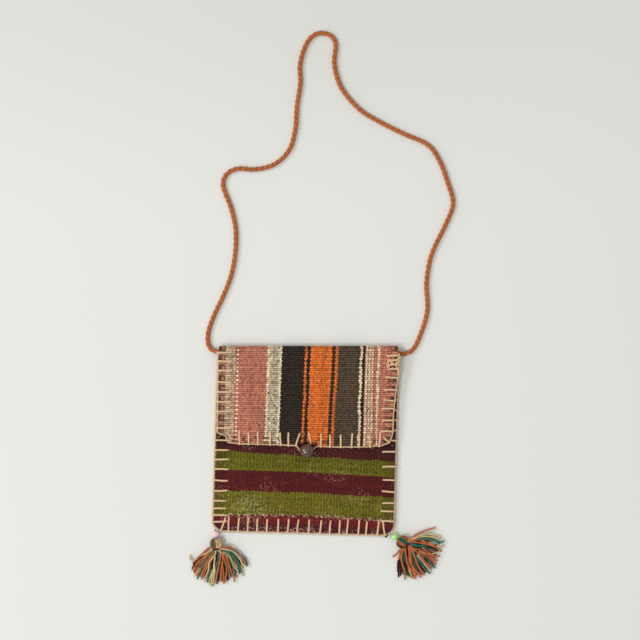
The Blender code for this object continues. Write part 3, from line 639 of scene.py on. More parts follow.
def flap_corner(side):
    """Three points of the flap's cut corner: on its side, at the cut, and on its lower edge."""
    half, cut = flap_side(FLAP_END, side), CORNER_CUT[side] * FLAP_CORNER
    start, inner = FLAP_END + FLAP_CORNER, side * (half - FLAP_CORNER)
    return (
        Vector((side * flap_side(start, side), start)),
        Vector((side * (half - cut), FLAP_END + cut)),
        Vector((inner, flap_end(inner))),
    )


def rounded(x, y):
    """The lower corners, drawn from a square pattern onto a quarter of an ellipse."""
    wide = (abs(x) - (PANEL_HALF - CORNER_WIDE)) / CORNER_WIDE
    high = (PANEL_BOTTOM + CORNER_HIGH - y) / CORNER_HIGH
    if wide <= 0 or high <= 0:
        return x, y
    inward = wide - wide * math.sqrt(1 - high * high / 2)
    upward = high - high * math.sqrt(1 - wide * wide / 2)
    return x - math.copysign(inward * CORNER_WIDE, x), y + upward * CORNER_HIGH


def round_fold(x, turn, radius):
    """A point round the fold, turned from its lowest line towards the top."""
    out = Vector((0, math.sin(turn), -math.cos(turn)))
    return Vector((x, FOLD_START, FOLD_OUTER)) + out * radius


# %% [markdown]
# ## Weaving
#
# In a kilim the weft passes over one warp and under the next, and the next weft does the opposite. So
# a single coloured weft shows only on every other rib, and the edge between two bands is toothed like
# a row of bricks. The shader builds just that. Each point of the cloth carries where it is in the
# weave: how many ribs across, and how far along the stack of wefts. The whole part of the first
# number is the rib, wefts on odd ribs are shifted by half a step, and the colour is looked up at the
# middle of each weft, never in between.

# %% Cloth from a grid
def weave_cloth(name, columns, rows, place, weave, thickness, finish, ribs=None):
    """A grid of columns and rows put in place, given its thickness, and ribbed on both faces.

    place(a, b) is a point of the upper face and weave(a, b) its place in the weave."""
    bm = bmesh.new()
    threads = bm.verts.layers.float_vector.new("weave")
    bmesh.ops.create_grid(bm, x_segments=len(columns) - 1, y_segments=len(rows) - 1, size=1)
    for vert in bm.verts:
        column = columns[round((vert.co.x + 1) / 2 * (len(columns) - 1))]
        row = rows[round((vert.co.y + 1) / 2 * (len(rows) - 1))]
        vert.co = lean(place(column, row))
        vert[threads] = weave(column, row)
    bmesh.ops.solidify(bm, geom=bm.faces, thickness=thickness)
    bmesh.ops.recalc_face_normals(bm, faces=bm.faces)
    if ribs:
        bm.normal_update()
        for vert in bm.verts:
            swell = abs(math.sin(math.pi * vert[threads].x))
            vert.co += vert.normal * ribs * (swell - 1)
    return as_piece(bm, name, finish)


def spread_lines(low, high, spacing):
    """Even steps from low to high, about a spacing apart."""
    count = max(1, round(abs(high - low) / spacing))
    return [low + (high - low) * step / count for step in range(count + 1)]


# %% The weave's finish
def add_flecks(kilim, colour, across, stack, pick, share):
    """Pale fibres that show here and there, in patches."""
    speck = kilim.chance(kilim.join(kilim.sum("FLOOR", across * 2), pick, 3))
    where = kilim.noise(kilim.join(across * 0.06, stack * 45, 5), 1.0, detail=1)
    amount = kilim.band(speck, 1.0 - share, 1.0 - share * 0.6) * kilim.band(where, 0.48, 0.64)
    pale = kilim.mix(0.35, kilim.shade(colour, 2.2), tone(200, 170, 150))
    return kilim.mix(amount * 0.8, colour, pale)


def make_kilim(name, bands, weft, low, high, border, depths, uneven, abrash, painted_highlight, flecks=0.0):
    """Bands are (where each starts, colour), along the stack of wefts from low to high. depths are how
    much painted shade falls between ribs and between threads, and how dark the short dashes get, uneven
    is how much every other rib differs, abrash (amount, factors) how the dye changes in patches,
    painted_highlight how strong the painted highlights are on the tops of the ribs and on loose fibres,
    and flecks the share of the cloth that has pale specks."""
    kilim = Finish(
        name, roughness=0.92, Sheen_Weight=0.03, Sheen_Roughness=0.5, Specular_IOR_Level=0.2
    )
    across, stack, reach = kilim.split(kilim.attribute("weave"))
    # Every noise here is stretched by its join: slow along the threads that it should follow.
    wander = (kilim.noise(kilim.join(across * 0.11, stack * 30), 1.0, detail=1) - 0.5) * 1.2 * MM
    rib = kilim.sum("FLOOR", across)
    odd = kilim.sum("MODULO", rib + 1000, 2)
    count = stack / weft + odd * 0.5
    pick = kilim.sum("FLOOR", count)
    middle = (pick + 0.5 - odd * 0.5) * weft + wander
    stops = [((start - low) / (high - low), colour) for start, colour in bands]
    colour = kilim.ramp((middle - low) / (high - low), stops, "CONSTANT")
    cell = kilim.chance(kilim.join(rib, pick))
    dye = kilim.chance(kilim.join(kilim.sum("FLOOR", pick / 2), 7))
    cloud = kilim.noise(kilim.join(across * 0.05, stack * 60), 1.0, detail=2)
    streak = kilim.noise(kilim.join(across * 0.35, stack * 700), 1.0, detail=2)
    # One float is a thread that rises over its rib and dives at both sides.
    over = kilim.sum("SINE", kilim.sum("FRACT", across) * math.pi)
    thread = kilim.sum("SINE", kilim.sum("FRACT", count) * math.pi)
    height = over * 0.65 + thread * 0.35
    grain = kilim.noise(kilim.join(across * 0.8, stack / (1.2 * MM), 3), 1.0, detail=2, roughness=0.7)
    dash = kilim.noise(kilim.join(rib * 5.3, stack * 420), 1.0, detail=1)
    rib_depth, thread_depth, dash_depth = depths
    # Painted shade: darker in the valleys between ribs and between threads.
    rib_light = 1.14 - rib_depth + kilim.sum("POWER", over, 0.9) * rib_depth
    thread_light = 1.14 - thread_depth + thread * thread_depth
    level = rib_light * thread_light * (
        1 + (odd - 0.5) * uneven + (cell - 0.5) * 0.65 + (dye - 0.5) * 0.24 + (cloud - 0.5) * 0.5
        + (streak - 0.5) * 0.4 + (dash - 0.5) * dash_depth + (grain - 0.5) * 1.2
    )
    haze = kilim.noise(kilim.join(across * 0.9, stack / (1.0 * MM), 17), 1.0, detail=2, roughness=0.7)
    colour = border(kilim, colour, across, stack, reach, rib, pick)
    if flecks:
        colour = add_flecks(kilim, colour, across, stack, pick, flecks)
    patch, factors = abrash
    redyed = kilim.add("ShaderNodeVectorMath", {0: colour, 1: factors}, operation="MULTIPLY")
    colour = kilim.mix(kilim.band(cloud, 0.45, 0.75) * patch, colour, redyed)
    colour = kilim.shade(colour, level)
    # Painted highlights: paler on the tops of ribs and threads, and where loose fibres catch the light.
    rib_highlight = kilim.band(over * thread, 0.5, 1.0) * kilim.band(grain, 0.36, 0.66) * 0.26 * painted_highlight
    colour = kilim.mix(rib_highlight, colour, tone(184, 158, 134))
    kilim.colour(kilim.mix(kilim.band(haze, 0.52, 0.8) * 0.16 * painted_highlight, colour, tone(196, 176, 150)))
    fibres = kilim.noise(kilim.place(), 1800, detail=2)
    kilim.relief(height + fibres * 0.25, 0.5 * MM, 0.8)
    return kilim


# %% [markdown]
# ### The long piece: back, fold and flap
#
# One length of cloth is the back, goes over the top and comes down as the flap. Its bands run down
# the bag, from salmon and beige through black and bright orange to brown and pink, so its ribs lie
# across. The bands are listed from left to right, each with where it starts, in millimetres from the
# middle.

# %% Bands of the long piece
FLAP_RIB = 2.24 * MM
FLAP_WEFT = 1.5 * MM
salmon, pink, beige = tone(188, 116, 94), tone(197, 122, 100), tone(206, 190, 162)
cream, black, orange = tone(236, 216, 180), tone(33, 27, 20), tone(225, 112, 42)
umber, dark_line, grey_beige = tone(79, 65, 51), tone(50, 38, 30), tone(208, 176, 146)
FLAP_BANDS_MM = (
    (-100.0, tone(176, 130, 106)),
    (-86.6, grey_beige),
    (-76.0, pink),
    (-72.4, salmon),
    (-42.7, cream),
    (-40.9, beige),
    (-30.2, cream),
    (-27.9, black),
    (-3.9, orange),
    (-0.9, black),
    (2.1, orange),
    (25.6, dark_line),
    (29.0, orange),
    (32.1, umber),
    (54.8, cream),
    (57.6, black),
    (60.8, tone(236, 194, 160)),
    (69.4, pink),
    (73.4, cream),
    (75.6, pink),
)

# Four dark knots in the beige band: how far along the stack of wefts, and how far up the flap.
BLACK_SPOTS_MM = ((-40.2, 52.4), (-33.5, 39.6), (-39.3, 25.7), (-33.5, 25.1))
STITCH_STEP = 10.6 * MM


def hem_specks(kilim, colour, across, stack, reach, rib, pick):
    """What shows beside the stitches: an overcast hem in dark maroon, in broken boxes a stitch apart at
    the sides, and brown dashes along the lower edge. The left border and the beige band get specks, a
    row of light dots stands between the border and the salmon, and the pale band at the right changes
    colour at every crossing."""
    block = kilim.chance(kilim.join(rib, kilim.sum("FLOOR", pick / 2), 9))
    side = kilim.sum("ABSOLUTE", stack)
    step = kilim.sum("FRACT", across * FLAP_RIB / STITCH_STEP + 0.1)
    box = kilim.stripe(step, 0.5, 0.34, 0.28)
    hole = kilim.stripe(step, 0.5, 0.2, 0.12) * kilim.stripe(side, 88.6 * MM, 1.7 * MM, 1.1 * MM)
    dashes = kilim.band(block, 0.55, 0.62)
    edge = kilim.band(side, 85.9 * MM, 86.7 * MM) * box * (1 - hole) * (0.75 + 0.25 * dashes)
    low_edge = kilim.band(reach, 8.5 * MM, 5.0 * MM) * dashes * 0.85
    colour = kilim.mix(kilim.sum("MAXIMUM", edge, low_edge) * 0.9, colour, tone(62, 28, 30))
    cell = kilim.chance(kilim.join(rib, kilim.sum("FLOOR", pick / 3), 4))
    left = kilim.band(stack, -75.9 * MM, -76.3 * MM) * kilim.band(cell, 0.56, 0.6)
    colour = kilim.mix(left * 0.4, colour, tone(122, 84, 66))
    dot = kilim.stripe(stack, -73.4 * MM, 1.1 * MM, 0.7 * MM) * kilim.sum("MODULO", rib + 1000, 2)
    colour = kilim.mix(dot, colour, tone(250, 234, 206))
    fine = kilim.chance(kilim.join(rib, pick, 5))
    pale = kilim.stripe(stack, -35.2 * MM, 5.6 * MM, 5.2 * MM)
    colour = kilim.mix(pale * kilim.band(fine, 0.55, 0.62) * 0.45, colour, tone(110, 92, 74))
    for place, up in BLACK_SPOTS_MM:
        spot = kilim.distance(kilim.join(stack, reach), (place * MM, up * MM, 0))
        colour = kilim.mix(kilim.band(spot, 1.1 * MM, 0.7 * MM), colour, tone(34, 26, 24))
    pepper = kilim.stripe(stack, 65.2 * MM, 4.4 * MM, 4.0 * MM)
    crossing = kilim.sum("MODULO", rib + pick + 1000, 2)
    peppered = kilim.mix(crossing, tone(182, 124, 102), tone(255, 230, 194))
    return kilim.mix(pepper * 0.75, colour, peppered)


long_kilim = make_kilim(
    "long_kilim", [(start * MM, colour) for start, colour in FLAP_BANDS_MM],
    weft=FLAP_WEFT, low=-100 * MM, high=100 * MM, border=hem_specks, depths=(0.86, 0.42, 0.7),
    uneven=0.15, abrash=(0.25, (1.22, 1.06, 0.72)), painted_highlight=1.0,
)


# %% Flap and the upper half of the fold
FOLD_QUARTER = FOLD_MIDDLE * math.pi / 2
FLAP_LENGTH = FOLD_QUARTER + FLAP_DOWN
FLAP_COLUMN, FLAP_RIB_DEPTH = 1.55 * MM, 0.16 * MM
# The flap and the back lap by this much in the middle of the fold.
SEAM_LAP = 0.4 * MM
# Between which angles round the fold the back and the flap bend at its two hinge lines.
BACK_BEND, FLAP_BEND = (0.28, 1.29), (1.85, 2.86)
# How far the bands move to the left from the fold to the flap's end.
BAND_DRIFT = 1.3 * MM
# How far the bands between brown and pink give way to the right at the flap's end.
BAND_SLIP = 5.0 * MM


def flap_place(across, along):
    """The flap's upper face. along runs from the fold's middle, over its top and down the flap."""
    if along < FOLD_QUARTER:
        return round_fold(across, math.pi / 2 + along / FOLD_MIDDLE, FOLD_OUTER)
    down = along - FOLD_QUARTER
    y = FOLD_START - down
    x = across * flap_side(y, across) / FLAP_HALF
    wide = (abs(across) - (FLAP_HALF - FLAP_CORNER)) / FLAP_CORNER
    low = (down - (FLAP_DOWN - FLAP_CORNER)) / FLAP_CORNER
    height = flap_middle(x, y) + KILIM / 2
    height += slack(x, y, 1.0) * ease(down / (20 * MM))
    if wide > 0 and low > 0:
        cut = wide * low * CORNER_CUT[-1 if across < 0 else 1] * FLAP_CORNER
        x -= math.copysign(cut, across)
        y += cut
    y += (flap_end(x) - FLAP_END) * ease(low) * (1 - max(wide, 0))
    return Vector((x, y, height))


def band_slip(across, down):
    """How far right of their straight course the right-hand bands run. Lower down the stitches draw in
    the border beside them, and they give way less than it does."""
    orange, umber_side, border = 5 * MM, 30 * MM, 86 * MM
    spread = min((across - umber_side) / (45 * MM), (border - across) / (11 * MM))
    start = ease((across - orange) / (15 * MM)) * ease((border - across) / (12 * MM))
    return BAND_SLIP * max(spread, 0) * ease((down - 0.2) / 0.65) - 1.0 * MM * start


def flap_weave(across, along):
    """Ribs, then the stack of wefts, then how far it is to the flap's end."""
    left, down = FLAP_LENGTH - along, along / FLAP_LENGTH
    return Vector((left / FLAP_RIB, across + BAND_DRIFT * down - band_slip(across, down), left))


def make_flap():
    columns = spread_lines(-FLAP_HALF, FLAP_HALF, FLAP_COLUMN)
    rows = spread_lines(-SEAM_LAP, FLAP_LENGTH, FLAP_RIB / 4)
    flap = weave_cloth(
        "kilim_flap", columns, rows, flap_place, flap_weave, KILIM, long_kilim, ribs=FLAP_RIB_DEPTH
    )
    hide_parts("flap_panel", "flap_fold")
    start, end = (round_fold(0, turn, FOLD_MIDDLE) for turn in FLAP_BEND)
    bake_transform(flap)
    width, length = FLAP_HALF * 2 / MM, FLAP_LENGTH / MM
    print(f"flap: {width:.0f} by {length:.0f} mm, {len(flap.data.polygons)} faces")


# %% [markdown]
# ### The front of the pocket
#
# The pocket's front is a second piece, banded in dark maroon, olive and wine red, and its ribs stand
# upright. Its bands don't run level: they were measured where they meet the left edge, the middle and
# the right edge, and `pocket_stack` bends the stack of wefts to pass through those places.

# %% Bands of the pocket
POCKET_RIB = 1.70 * MM
POCKET_WEFT = 1.25 * MM
maroon, olive, wine = tone(88, 21, 25), tone(104, 100, 18), tone(119, 28, 34)
dark_maroon, deep_olive = tone(75, 22, 26), tone(110, 104, 24)
# Where each band's edge is at the left, in the middle and at the right.
BAND_EDGES_MM = (
    (-80.6, -79.2, -82.3),
    (-56.0, -55.8, -59.1),
    (-33.9, -34.0, -38.5),
    (-11.9, -16.5, -21.2),
    (62.0, 60.0, 58.0),
    (74.0, 73.0, 71.0),
)
BAND_COLOURS = (wine, deep_olive, maroon, olive, dark_maroon, olive, wine)


def band_edge(edge, x):
    """Where a band's edge is at x, on a smooth curve through its three measured places."""
    left, middle, right = (value * MM for value in edge)
    share = x / PANEL_HALF
    return middle + (right - left) / 2 * share + ((right + left) / 2 - middle) * share * share


def pocket_stack(x, y):
    """How far up the stack of wefts a point is, bent so that the bands' edges are where they belong."""
    edges = [band_edge(edge, x) for edge in BAND_EDGES_MM]
    levels = [edge[1] * MM for edge in BAND_EDGES_MM]
    if y <= edges[0]:
        return levels[0] + y - edges[0]
    for low, high, first, second in zip(edges, edges[1:], levels, levels[1:]):
        if y <= high:
            return first + (second - first) * (y - low) / (high - low)
    return levels[-1] + y - edges[-1]


def pocket_hem(kilim, colour, across, stack, reach, rib, pick):
    """Darker wool at the sides, painted shadow under the flap's corners, pale dots where the deep olive
    meets the wine red and in a worn patch, and a dark line with pale specks along the lower edge."""
    speck = kilim.chance(kilim.join(rib, pick, 11))
    ragged = (kilim.noise(kilim.join(across * 0.4, stack * 300, 8), 1.0, detail=2) - 0.5) * 9 * MM
    edge = kilim.band(reach + ragged, 15 * MM, 8 * MM)
    colour = kilim.mix(edge * 0.3, colour, tone(48, 26, 26))
    hem = kilim.band(stack, -86.5 * MM, -89.5 * MM)
    colour = kilim.mix(hem * 0.7, colour, tone(58, 24, 36))
    # Painted shadow: dark on the pocket under the flap's cut corners.
    corner = kilim.stripe(stack, -1 * MM, 11 * MM, 7 * MM) * kilim.band(reach, 15 * MM, 10 * MM)
    colour = kilim.mix(corner * 0.75, colour, tone(40, 25, 25))
    dots = kilim.stripe(stack, -79.4 * MM, 2.2 * MM, 1.4 * MM) * kilim.band(speck, 0.6, 0.66)
    colour = kilim.mix(dots * 0.6, colour, tone(206, 186, 150))
    patch = kilim.distance(kilim.join(across * POCKET_RIB, stack), (-55 * MM, -73 * MM, 0))
    worn = kilim.band(patch, 24 * MM, 6 * MM) * kilim.band(speck, 0.55, 0.62)
    colour = kilim.mix(worn * 0.45, colour, tone(186, 178, 122))
    pale = kilim.band(stack, -91 * MM, -92.5 * MM) * kilim.band(speck, 0.75, 0.82)
    return kilim.mix(pale * 0.6, colour, tone(190, 150, 140))


pocket_kilim = make_kilim(
    "pocket_kilim",
    [(-110 * MM, BAND_COLOURS[0])] + [
        (edge[1] * MM, colour) for edge, colour in zip(BAND_EDGES_MM, BAND_COLOURS[1:])
    ],
    weft=POCKET_WEFT, low=-110 * MM, high=110 * MM, border=pocket_hem, depths=(0.42, 0.74, 0.4),
    uneven=0.26, abrash=(0.5, (1.1, 1.12, 0.7)), painted_highlight=0.35, flecks=0.16,
)


# %% Front and back of the pocket
PANEL_STEP, PANEL_RIB_DEPTH = 2.4 * MM, 0.14 * MM


def front_place(x, y):
    height = front_middle(x, y) + KILIM / 2 + slack(x, y, 6.0) * inside(x, y)
    x, y = rounded(x, y)
    return Vector((x, y, height))


def front_weave(x, y):
    reach = min(PANEL_HALF - abs(x), 40 * MM)
    return Vector((x / POCKET_RIB, pocket_stack(x, y), reach))


def back_place(across, along):
    """The back's upper, inner face. along runs up the back and round to the middle of the fold."""
    if along > FOLD_START:
        return round_fold(across, (along - FOLD_START) / FOLD_MIDDLE, FOLD_OUTER - KILIM)
    x, y = rounded(across, along)
    return Vector((x, y, back_middle(across, along) + KILIM / 2))


def back_weave(across, along):
    reach = FLAP_LENGTH + FOLD_START + FOLD_QUARTER - along
    return Vector((reach / FLAP_RIB, across - band_slip(across, 0), 60 * MM))


def make_pocket():
    columns = spread_lines(-PANEL_HALF, PANEL_HALF, POCKET_RIB / 4)
    rows = spread_lines(PANEL_BOTTOM, MOUTH, PANEL_STEP)
    front = weave_cloth(
        "kilim_front", columns, rows, front_place, front_weave, KILIM, pocket_kilim,
        ribs=PANEL_RIB_DEPTH,
    )
    dress(front, "bag", "kilim_front", "front_panel")
    cut = (PANEL_HALF * 2, MOUTH - PANEL_BOTTOM)
    fold_middle = FOLD_START + FOLD_QUARTER
    columns = spread_lines(-PANEL_HALF, PANEL_HALF, PANEL_STEP)
    rows = spread_lines(PANEL_BOTTOM, fold_middle + SEAM_LAP, FLAP_RIB / 4)
    back = weave_cloth(
        "kilim_back", columns, rows, back_place, back_weave, KILIM, long_kilim, ribs=PANEL_RIB_DEPTH
    )
    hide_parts("back_panel")
    start, end = (round_fold(0, turn, FOLD_MIDDLE) for turn in BACK_BEND)
    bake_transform(back)
    cut = (PANEL_HALF * 2, fold_middle - PANEL_BOTTOM)
    print(f"front: {len(front.data.polygons)} faces, back: {len(back.data.polygons)} faces")


make_pocket()
make_flap()

# %% [markdown]
# ### The linings
#
# Thin undyed cotton hides the wrong side of the kilim inside the pocket and behind the flap. It only
# shows when the flap is open, but then it is what the eye meets first, so it gets its own plain weave.

# %% Cotton linings
cotton = Finish("lining_cotton", roughness=0.95)
cotton_across, cotton_stack, _ = cotton.split(cotton.attribute("weave"))
cotton_warps = cotton.sum("SINE", cotton_across * math.tau)
cotton_grid = cotton_warps + cotton.sum("SINE", cotton_stack * math.tau)
cotton_cloud = cotton.noise(cotton.place(), 60, detail=3)
cotton_level = 0.94 + cotton_grid * 0.03 + (cotton_cloud - 0.5) * 0.2
cotton.colour(cotton.shade(tone(205, 192, 165), cotton_level))
cotton.relief(cotton_grid, 0.08 * MM, 0.5)
COTTON_THREAD, COTTON_STEP = 0.6 * MM, 4 * MM


def make_linings():
    inset = BORDER + SLOPE * 2 / 3
    half, bottom, top = PANEL_HALF - inset, PANEL_BOTTOM + inset, MOUTH - 2 * MM
    away = KILIM / 2 + GAP

    def on_back(x, y):
        return Vector((x, y, back_middle(x, y) + away + LINING))

    def on_front(x, y):
        return Vector((x, y, front_middle(x, y) - away + slack(x, y, 6.0) * inside(x, y)))

    def on_flap(x, y):
        return Vector((x * flap_side(y, x) / FLAP_HALF, y, flap_middle(x, y) - away - GAP / 3))

    def threads(x, y):
        return Vector((x / COTTON_THREAD, y / COTTON_THREAD, 0))

    flap_rows = (FLAP_END + BORDER + 2.8 * MM, FOLD_START - 10 * MM)
    for name, node, body, place, low, high, wide in (
        ("cotton_back", "lining_back", "bag", on_back, bottom, top, half),
        ("cotton_front", "lining_front", "bag", on_front, bottom, top, half),
        ("cotton_flap", "lining_flap", "flap", on_flap, *flap_rows, FLAP_HALF - inset),
    ):
        columns = spread_lines(-wide, wide, COTTON_STEP)
        rows = spread_lines(low, high, COTTON_STEP)
        lining = weave_cloth(name, columns, rows, place, threads, LINING, cotton)
        dress(lining, body, "cotton_lining", node)
        wide * 2
        high - low


make_linings()

# %% [markdown]
# ## Blanket stitch
#
# The edges are whipped with tan wool. One yarn runs along the edge, and at each stitch it goes in over
# the cloth, through a hole and back underneath, so the same yarn shows on both faces. Hand stitches
# are uneven, and these stand where the photograph shows them: each table lists how far along its edge
# each one is. Where the flap hides the pocket's sides they go on at the same spacing.

# %% Where the stitches are
POCKET_LEFT_MM = (
    -88.1, -80.6, -73.9, -65.7, -55.2, -43.8, -32.2, -22.1, -11.9,
    -1.5, 9, 19.8, 30, 40.6, 51, 61.5, 71.8, 81,
)
POCKET_RIGHT_MM = (
    -83.0, -72.8, -64.0, -52.8, -40.5, -26.4, -10.9, 0.5,
    11, 21.7, 32, 42.8, 53, 63.4, 73.5, 82,
)
POCKET_BOTTOM_MM = (
    -86.3, -77.1, -67.9, -58.3, -48.8, -38.1, -26.6, -15.9, -5.3,
    6.4, 18.3, 27.9, 37.4, 46.7, 57.7, 66.9, 77.7, 85.2,
)
FLAP_LEFT_MM = (91.6, 82.6, 72.6, 60.4, 49.9, 39.4, 28.9, 11.7)
FLAP_RIGHT_MM = (88.8, 83.9, 79.6, 74.7, 65.6, 53.1, 41.8, 33.8, 21.9, 10.2)
# Here each stitch also has a slant.
FLAP_BOTTOM_MM = (
    (-69.2, -0.6), (-59.2, -1.0), (-49.7, -0.3), (-36.6, 0.0), (-26.6, -0.8), (-17.4, -0.8),
    (-10.2, 3.0), (15.7, 0.0), (25.3, -0.6), (36.5, -0.9), (47.7, 0.4), (56.2, 0.0),
    (67.6, 0.3), (76.1, 0.8),
)

# Loose bends of the edge yarn near the top of the flap's right side: x, y, x, y along each.
TANGLE_MM = (
    (96.5, 87.5, 94.4, 86.3, 93.6, 84.4, 94.7, 83.4, 94.3, 82.2, 92.8, 81.4, 92.0, 80.0, 92.0,
     77.9, 92.8, 76.3, 94.1, 74.6, 94.8, 72.7, 94.7, 69.3),
    (87.3, 82.8, 89.7, 83.8, 91.8, 84.4, 93.6, 84.2),
    (84.6, 76.6, 84.3, 79.4, 83.1, 81.8, 83.6, 83.3, 84.9, 83.6, 85.8, 82.4, 87.3, 81.2, 89.4,
     80.2, 88.7, 79.0),
    (81.9, 79.2, 83.3, 77.3, 84.9, 76.3),
)


# %% The two edges
def pocket_edge():
    """The pocket's edge, down the left side, round and along the bottom, and up the right side."""
    reach, low = PANEL_HALF - CORNER_WIDE, PANEL_BOTTOM + CORNER_HIGH

    def on_corner(side, degrees):
        angle = math.radians(degrees)
        x = side * (reach + CORNER_WIDE * math.cos(angle))
        return Vector((x, low - CORNER_HIGH * math.sin(angle)))

    points = [Vector((-PANEL_HALF, y)) for y in spread_lines(FOLD_START, low, 2 * MM)[:-1]]
    points += [on_corner(-1, degrees) for degrees in range(0, 90, 9)]
    points += [Vector((x, PANEL_BOTTOM)) for x in spread_lines(-reach, reach, 2 * MM)[:-1]]
    points += [on_corner(1, degrees) for degrees in range(90, -1, -9)]
    points += [Vector((PANEL_HALF, y)) for y in spread_lines(low, FOLD_START, 2 * MM)[1:]]
    return points


def flap_edge():
    """The flap's edge, down the left side, along the bottom and up the right side."""
    high, low = FOLD_START - 1 * MM, FLAP_END + FLAP_CORNER
    left, right = flap_corner(-1), flap_corner(1)
    points = [Vector((-flap_side(y, -1), y)) for y in spread_lines(high, low, 2 * MM)]
    points += [left[0].lerp(left[1], 0.5), left[1], left[1].lerp(left[2], 0.5)]
    points += [Vector((x, flap_end(x))) for x in spread_lines(left[2].x, right[2].x, 1.6 * MM)]
    points += [right[2].lerp(right[1], 0.5), right[1], right[1].lerp(right[0], 0.5)]
    points += [Vector((flap_side(y, 1), y)) for y in spread_lines(low, high, 2 * MM)]
    return points


# %% Sewing
# How far the yarns' plies go in one turn, and how far apart the points of their routes are.
YARN_PITCH, STITCH_PITCH = 3.6 * MM, 4.2 * MM
YARN_STEP = 0.45 * MM

# How far in a stitch's yarn is, from its hole to the edge, and how far it stands off the cloth.
STITCH_COURSE = ((1.0, -0.8), (0.95, 0.75), (0.8, 1.0), (0.5, 1.0), (0.2, 1.0), (0.02, 0.9))
STITCH_RISE, STITCH_NOSE = 0.55 * MM, 1.75 * MM


def outward(points, index):
    """The direction out of the cloth at a point of its edge."""
    before, after = points[max(index - 1, 0)], points[min(index + 1, len(points) - 1)]
    along = (after - before).normalized()
    return Vector((along.y, -along.x))


def edge_yarn(points, height, random_):
    """The yarn along the edge, which bows out and in a little between the stitches."""
    route = []
    for index, point in enumerate(points):
        out = outward(points, index)
        bow = random_.uniform(-0.18, 0.25) * MM
        place = point + out * (1.0 * MM + bow)
        level = height(point.x, point.y) + random_.uniform(-0.2, 0.2) * MM
        route.append(lean(Vector((place.x, place.y, level))))
    return smooth(route, YARN_STEP)


def stitch(edge, out, top, under, random_, length, slant):
    """One stitch: from its hole over the cloth, round the edge and back underneath to the hole."""
    reach = (length + random_.uniform(-1.2, 0.9)) * MM
    along = Vector((-out.y, out.x))
    slip = (slant + random_.uniform(-0.7, 0.7)) * MM
    bend = random_.uniform(-0.35, 0.35) * MM

    def on_face(face, side, inward, rise):
        bow = slip * inward + side * bend * math.sin(math.pi * inward)
        place = edge - out * reach * inward + along * bow
        return Vector((place.x, place.y, face(place.x, place.y) + side * STITCH_RISE * rise))

    route = [on_face(top, 1, *place) for place in STITCH_COURSE]
    nose = edge + out * STITCH_NOSE
    route.append(Vector((nose.x, nose.y, (top(edge.x, edge.y) + under(edge.x, edge.y)) / 2)))
    route += [on_face(under, -1, *place) for place in reversed(STITCH_COURSE)]
    return smooth([lean(point) for point in route], YARN_STEP)


def nearest(points, wanted):
    """The number of the point that is nearest to the wanted place."""
    return min(range(len(points)), key=lambda index: (points[index] - wanted).length_squared)


def sew(name, node, body, points, marks, top, under, seed, more=(), gap=0):
    """Edge yarn along the points, and a stitch at each mark: (place on the edge, length, slant). The
    yarn stops within a gap of the button."""
    random_ = random.Random(seed)
    bare = [index for index, point in enumerate(points) if abs(point.x - BUTTON.x) < gap]
    runs = [points[:bare[0]], points[bare[-1] + 1:]] if bare else [points]
    yarns = [edge_yarn(run, lambda x, y: (top(x, y) + under(x, y)) / 2, random_) for run in runs]
    routes = []
    for place, length, slant in marks:
        out = Vector((0, -1))
        if abs(place.x - BUTTON.x) >= gap:
            out = outward(points, nearest(points, place))
        routes.append(stitch(place, out, top, under, random_, length, slant))
    strands = plied([*yarns, *more], YARN, YARN_PITCH)
    strands += plied(routes, STITCH, STITCH_PITCH, 3, flat=0.3)
    piece = tubes(name, strands, STITCH * 0.26, 1, tan_yarn)
    dress(piece, body, "stitch_yarn", node)
    print(f"{name}: {len(marks)} stitches, {len(piece.data.polygons)} faces")


# %% The faces that the stitches lie on
def pocket_top(x, y):
    return front_middle(x, y) + KILIM / 2


def pocket_under(x, y):
    return back_middle(x, min(y, MOUTH - 8 * MM)) - KILIM / 2


def flap_top(x, y):
    return flap_middle(x, y) + KILIM / 2


def flap_under(x, y):
    return flap_middle(x, y) - KILIM / 2


# %% All the stitches
def pairs(row):
    """The places in a row of x, y, x, y."""
    return list(zip(row[::2], row[1::2]))


def sew_pocket():
    edge = pocket_edge()

    def beside(point):
        wide = abs(point.x) > PANEL_HALF - CORNER_WIDE / 3
        return wide and point.y > PANEL_BOTTOM + CORNER_HIGH / 2

    first = next(index for index, point in enumerate(edge) if not beside(point))
    last = next(index for index, point in enumerate(edge) if index > first and beside(point))
    left, bottom, right = edge[:first + 1], edge[first:last + 1], edge[last:]
    below = [nearest(bottom, Vector((x * MM, PANEL_BOTTOM))) for x in POCKET_BOTTOM_MM]
    for side, points, marks, seed in (
        ("left", left, [(Vector((-PANEL_HALF, y * MM)), 13.0, 0.0) for y in POCKET_LEFT_MM], 3),
        ("right", right, [(Vector((PANEL_HALF, y * MM)), 12.4, 0.4) for y in POCKET_RIGHT_MM], 4),
        ("bottom", bottom, [(bottom[index], 13.6, 0.6) for index in below], 5),
    ):
        name, node = f"stitches_{side}", f"stitching_{side}"
        sew(name, node, "bag", points, marks, pocket_top, pocket_under, seed)


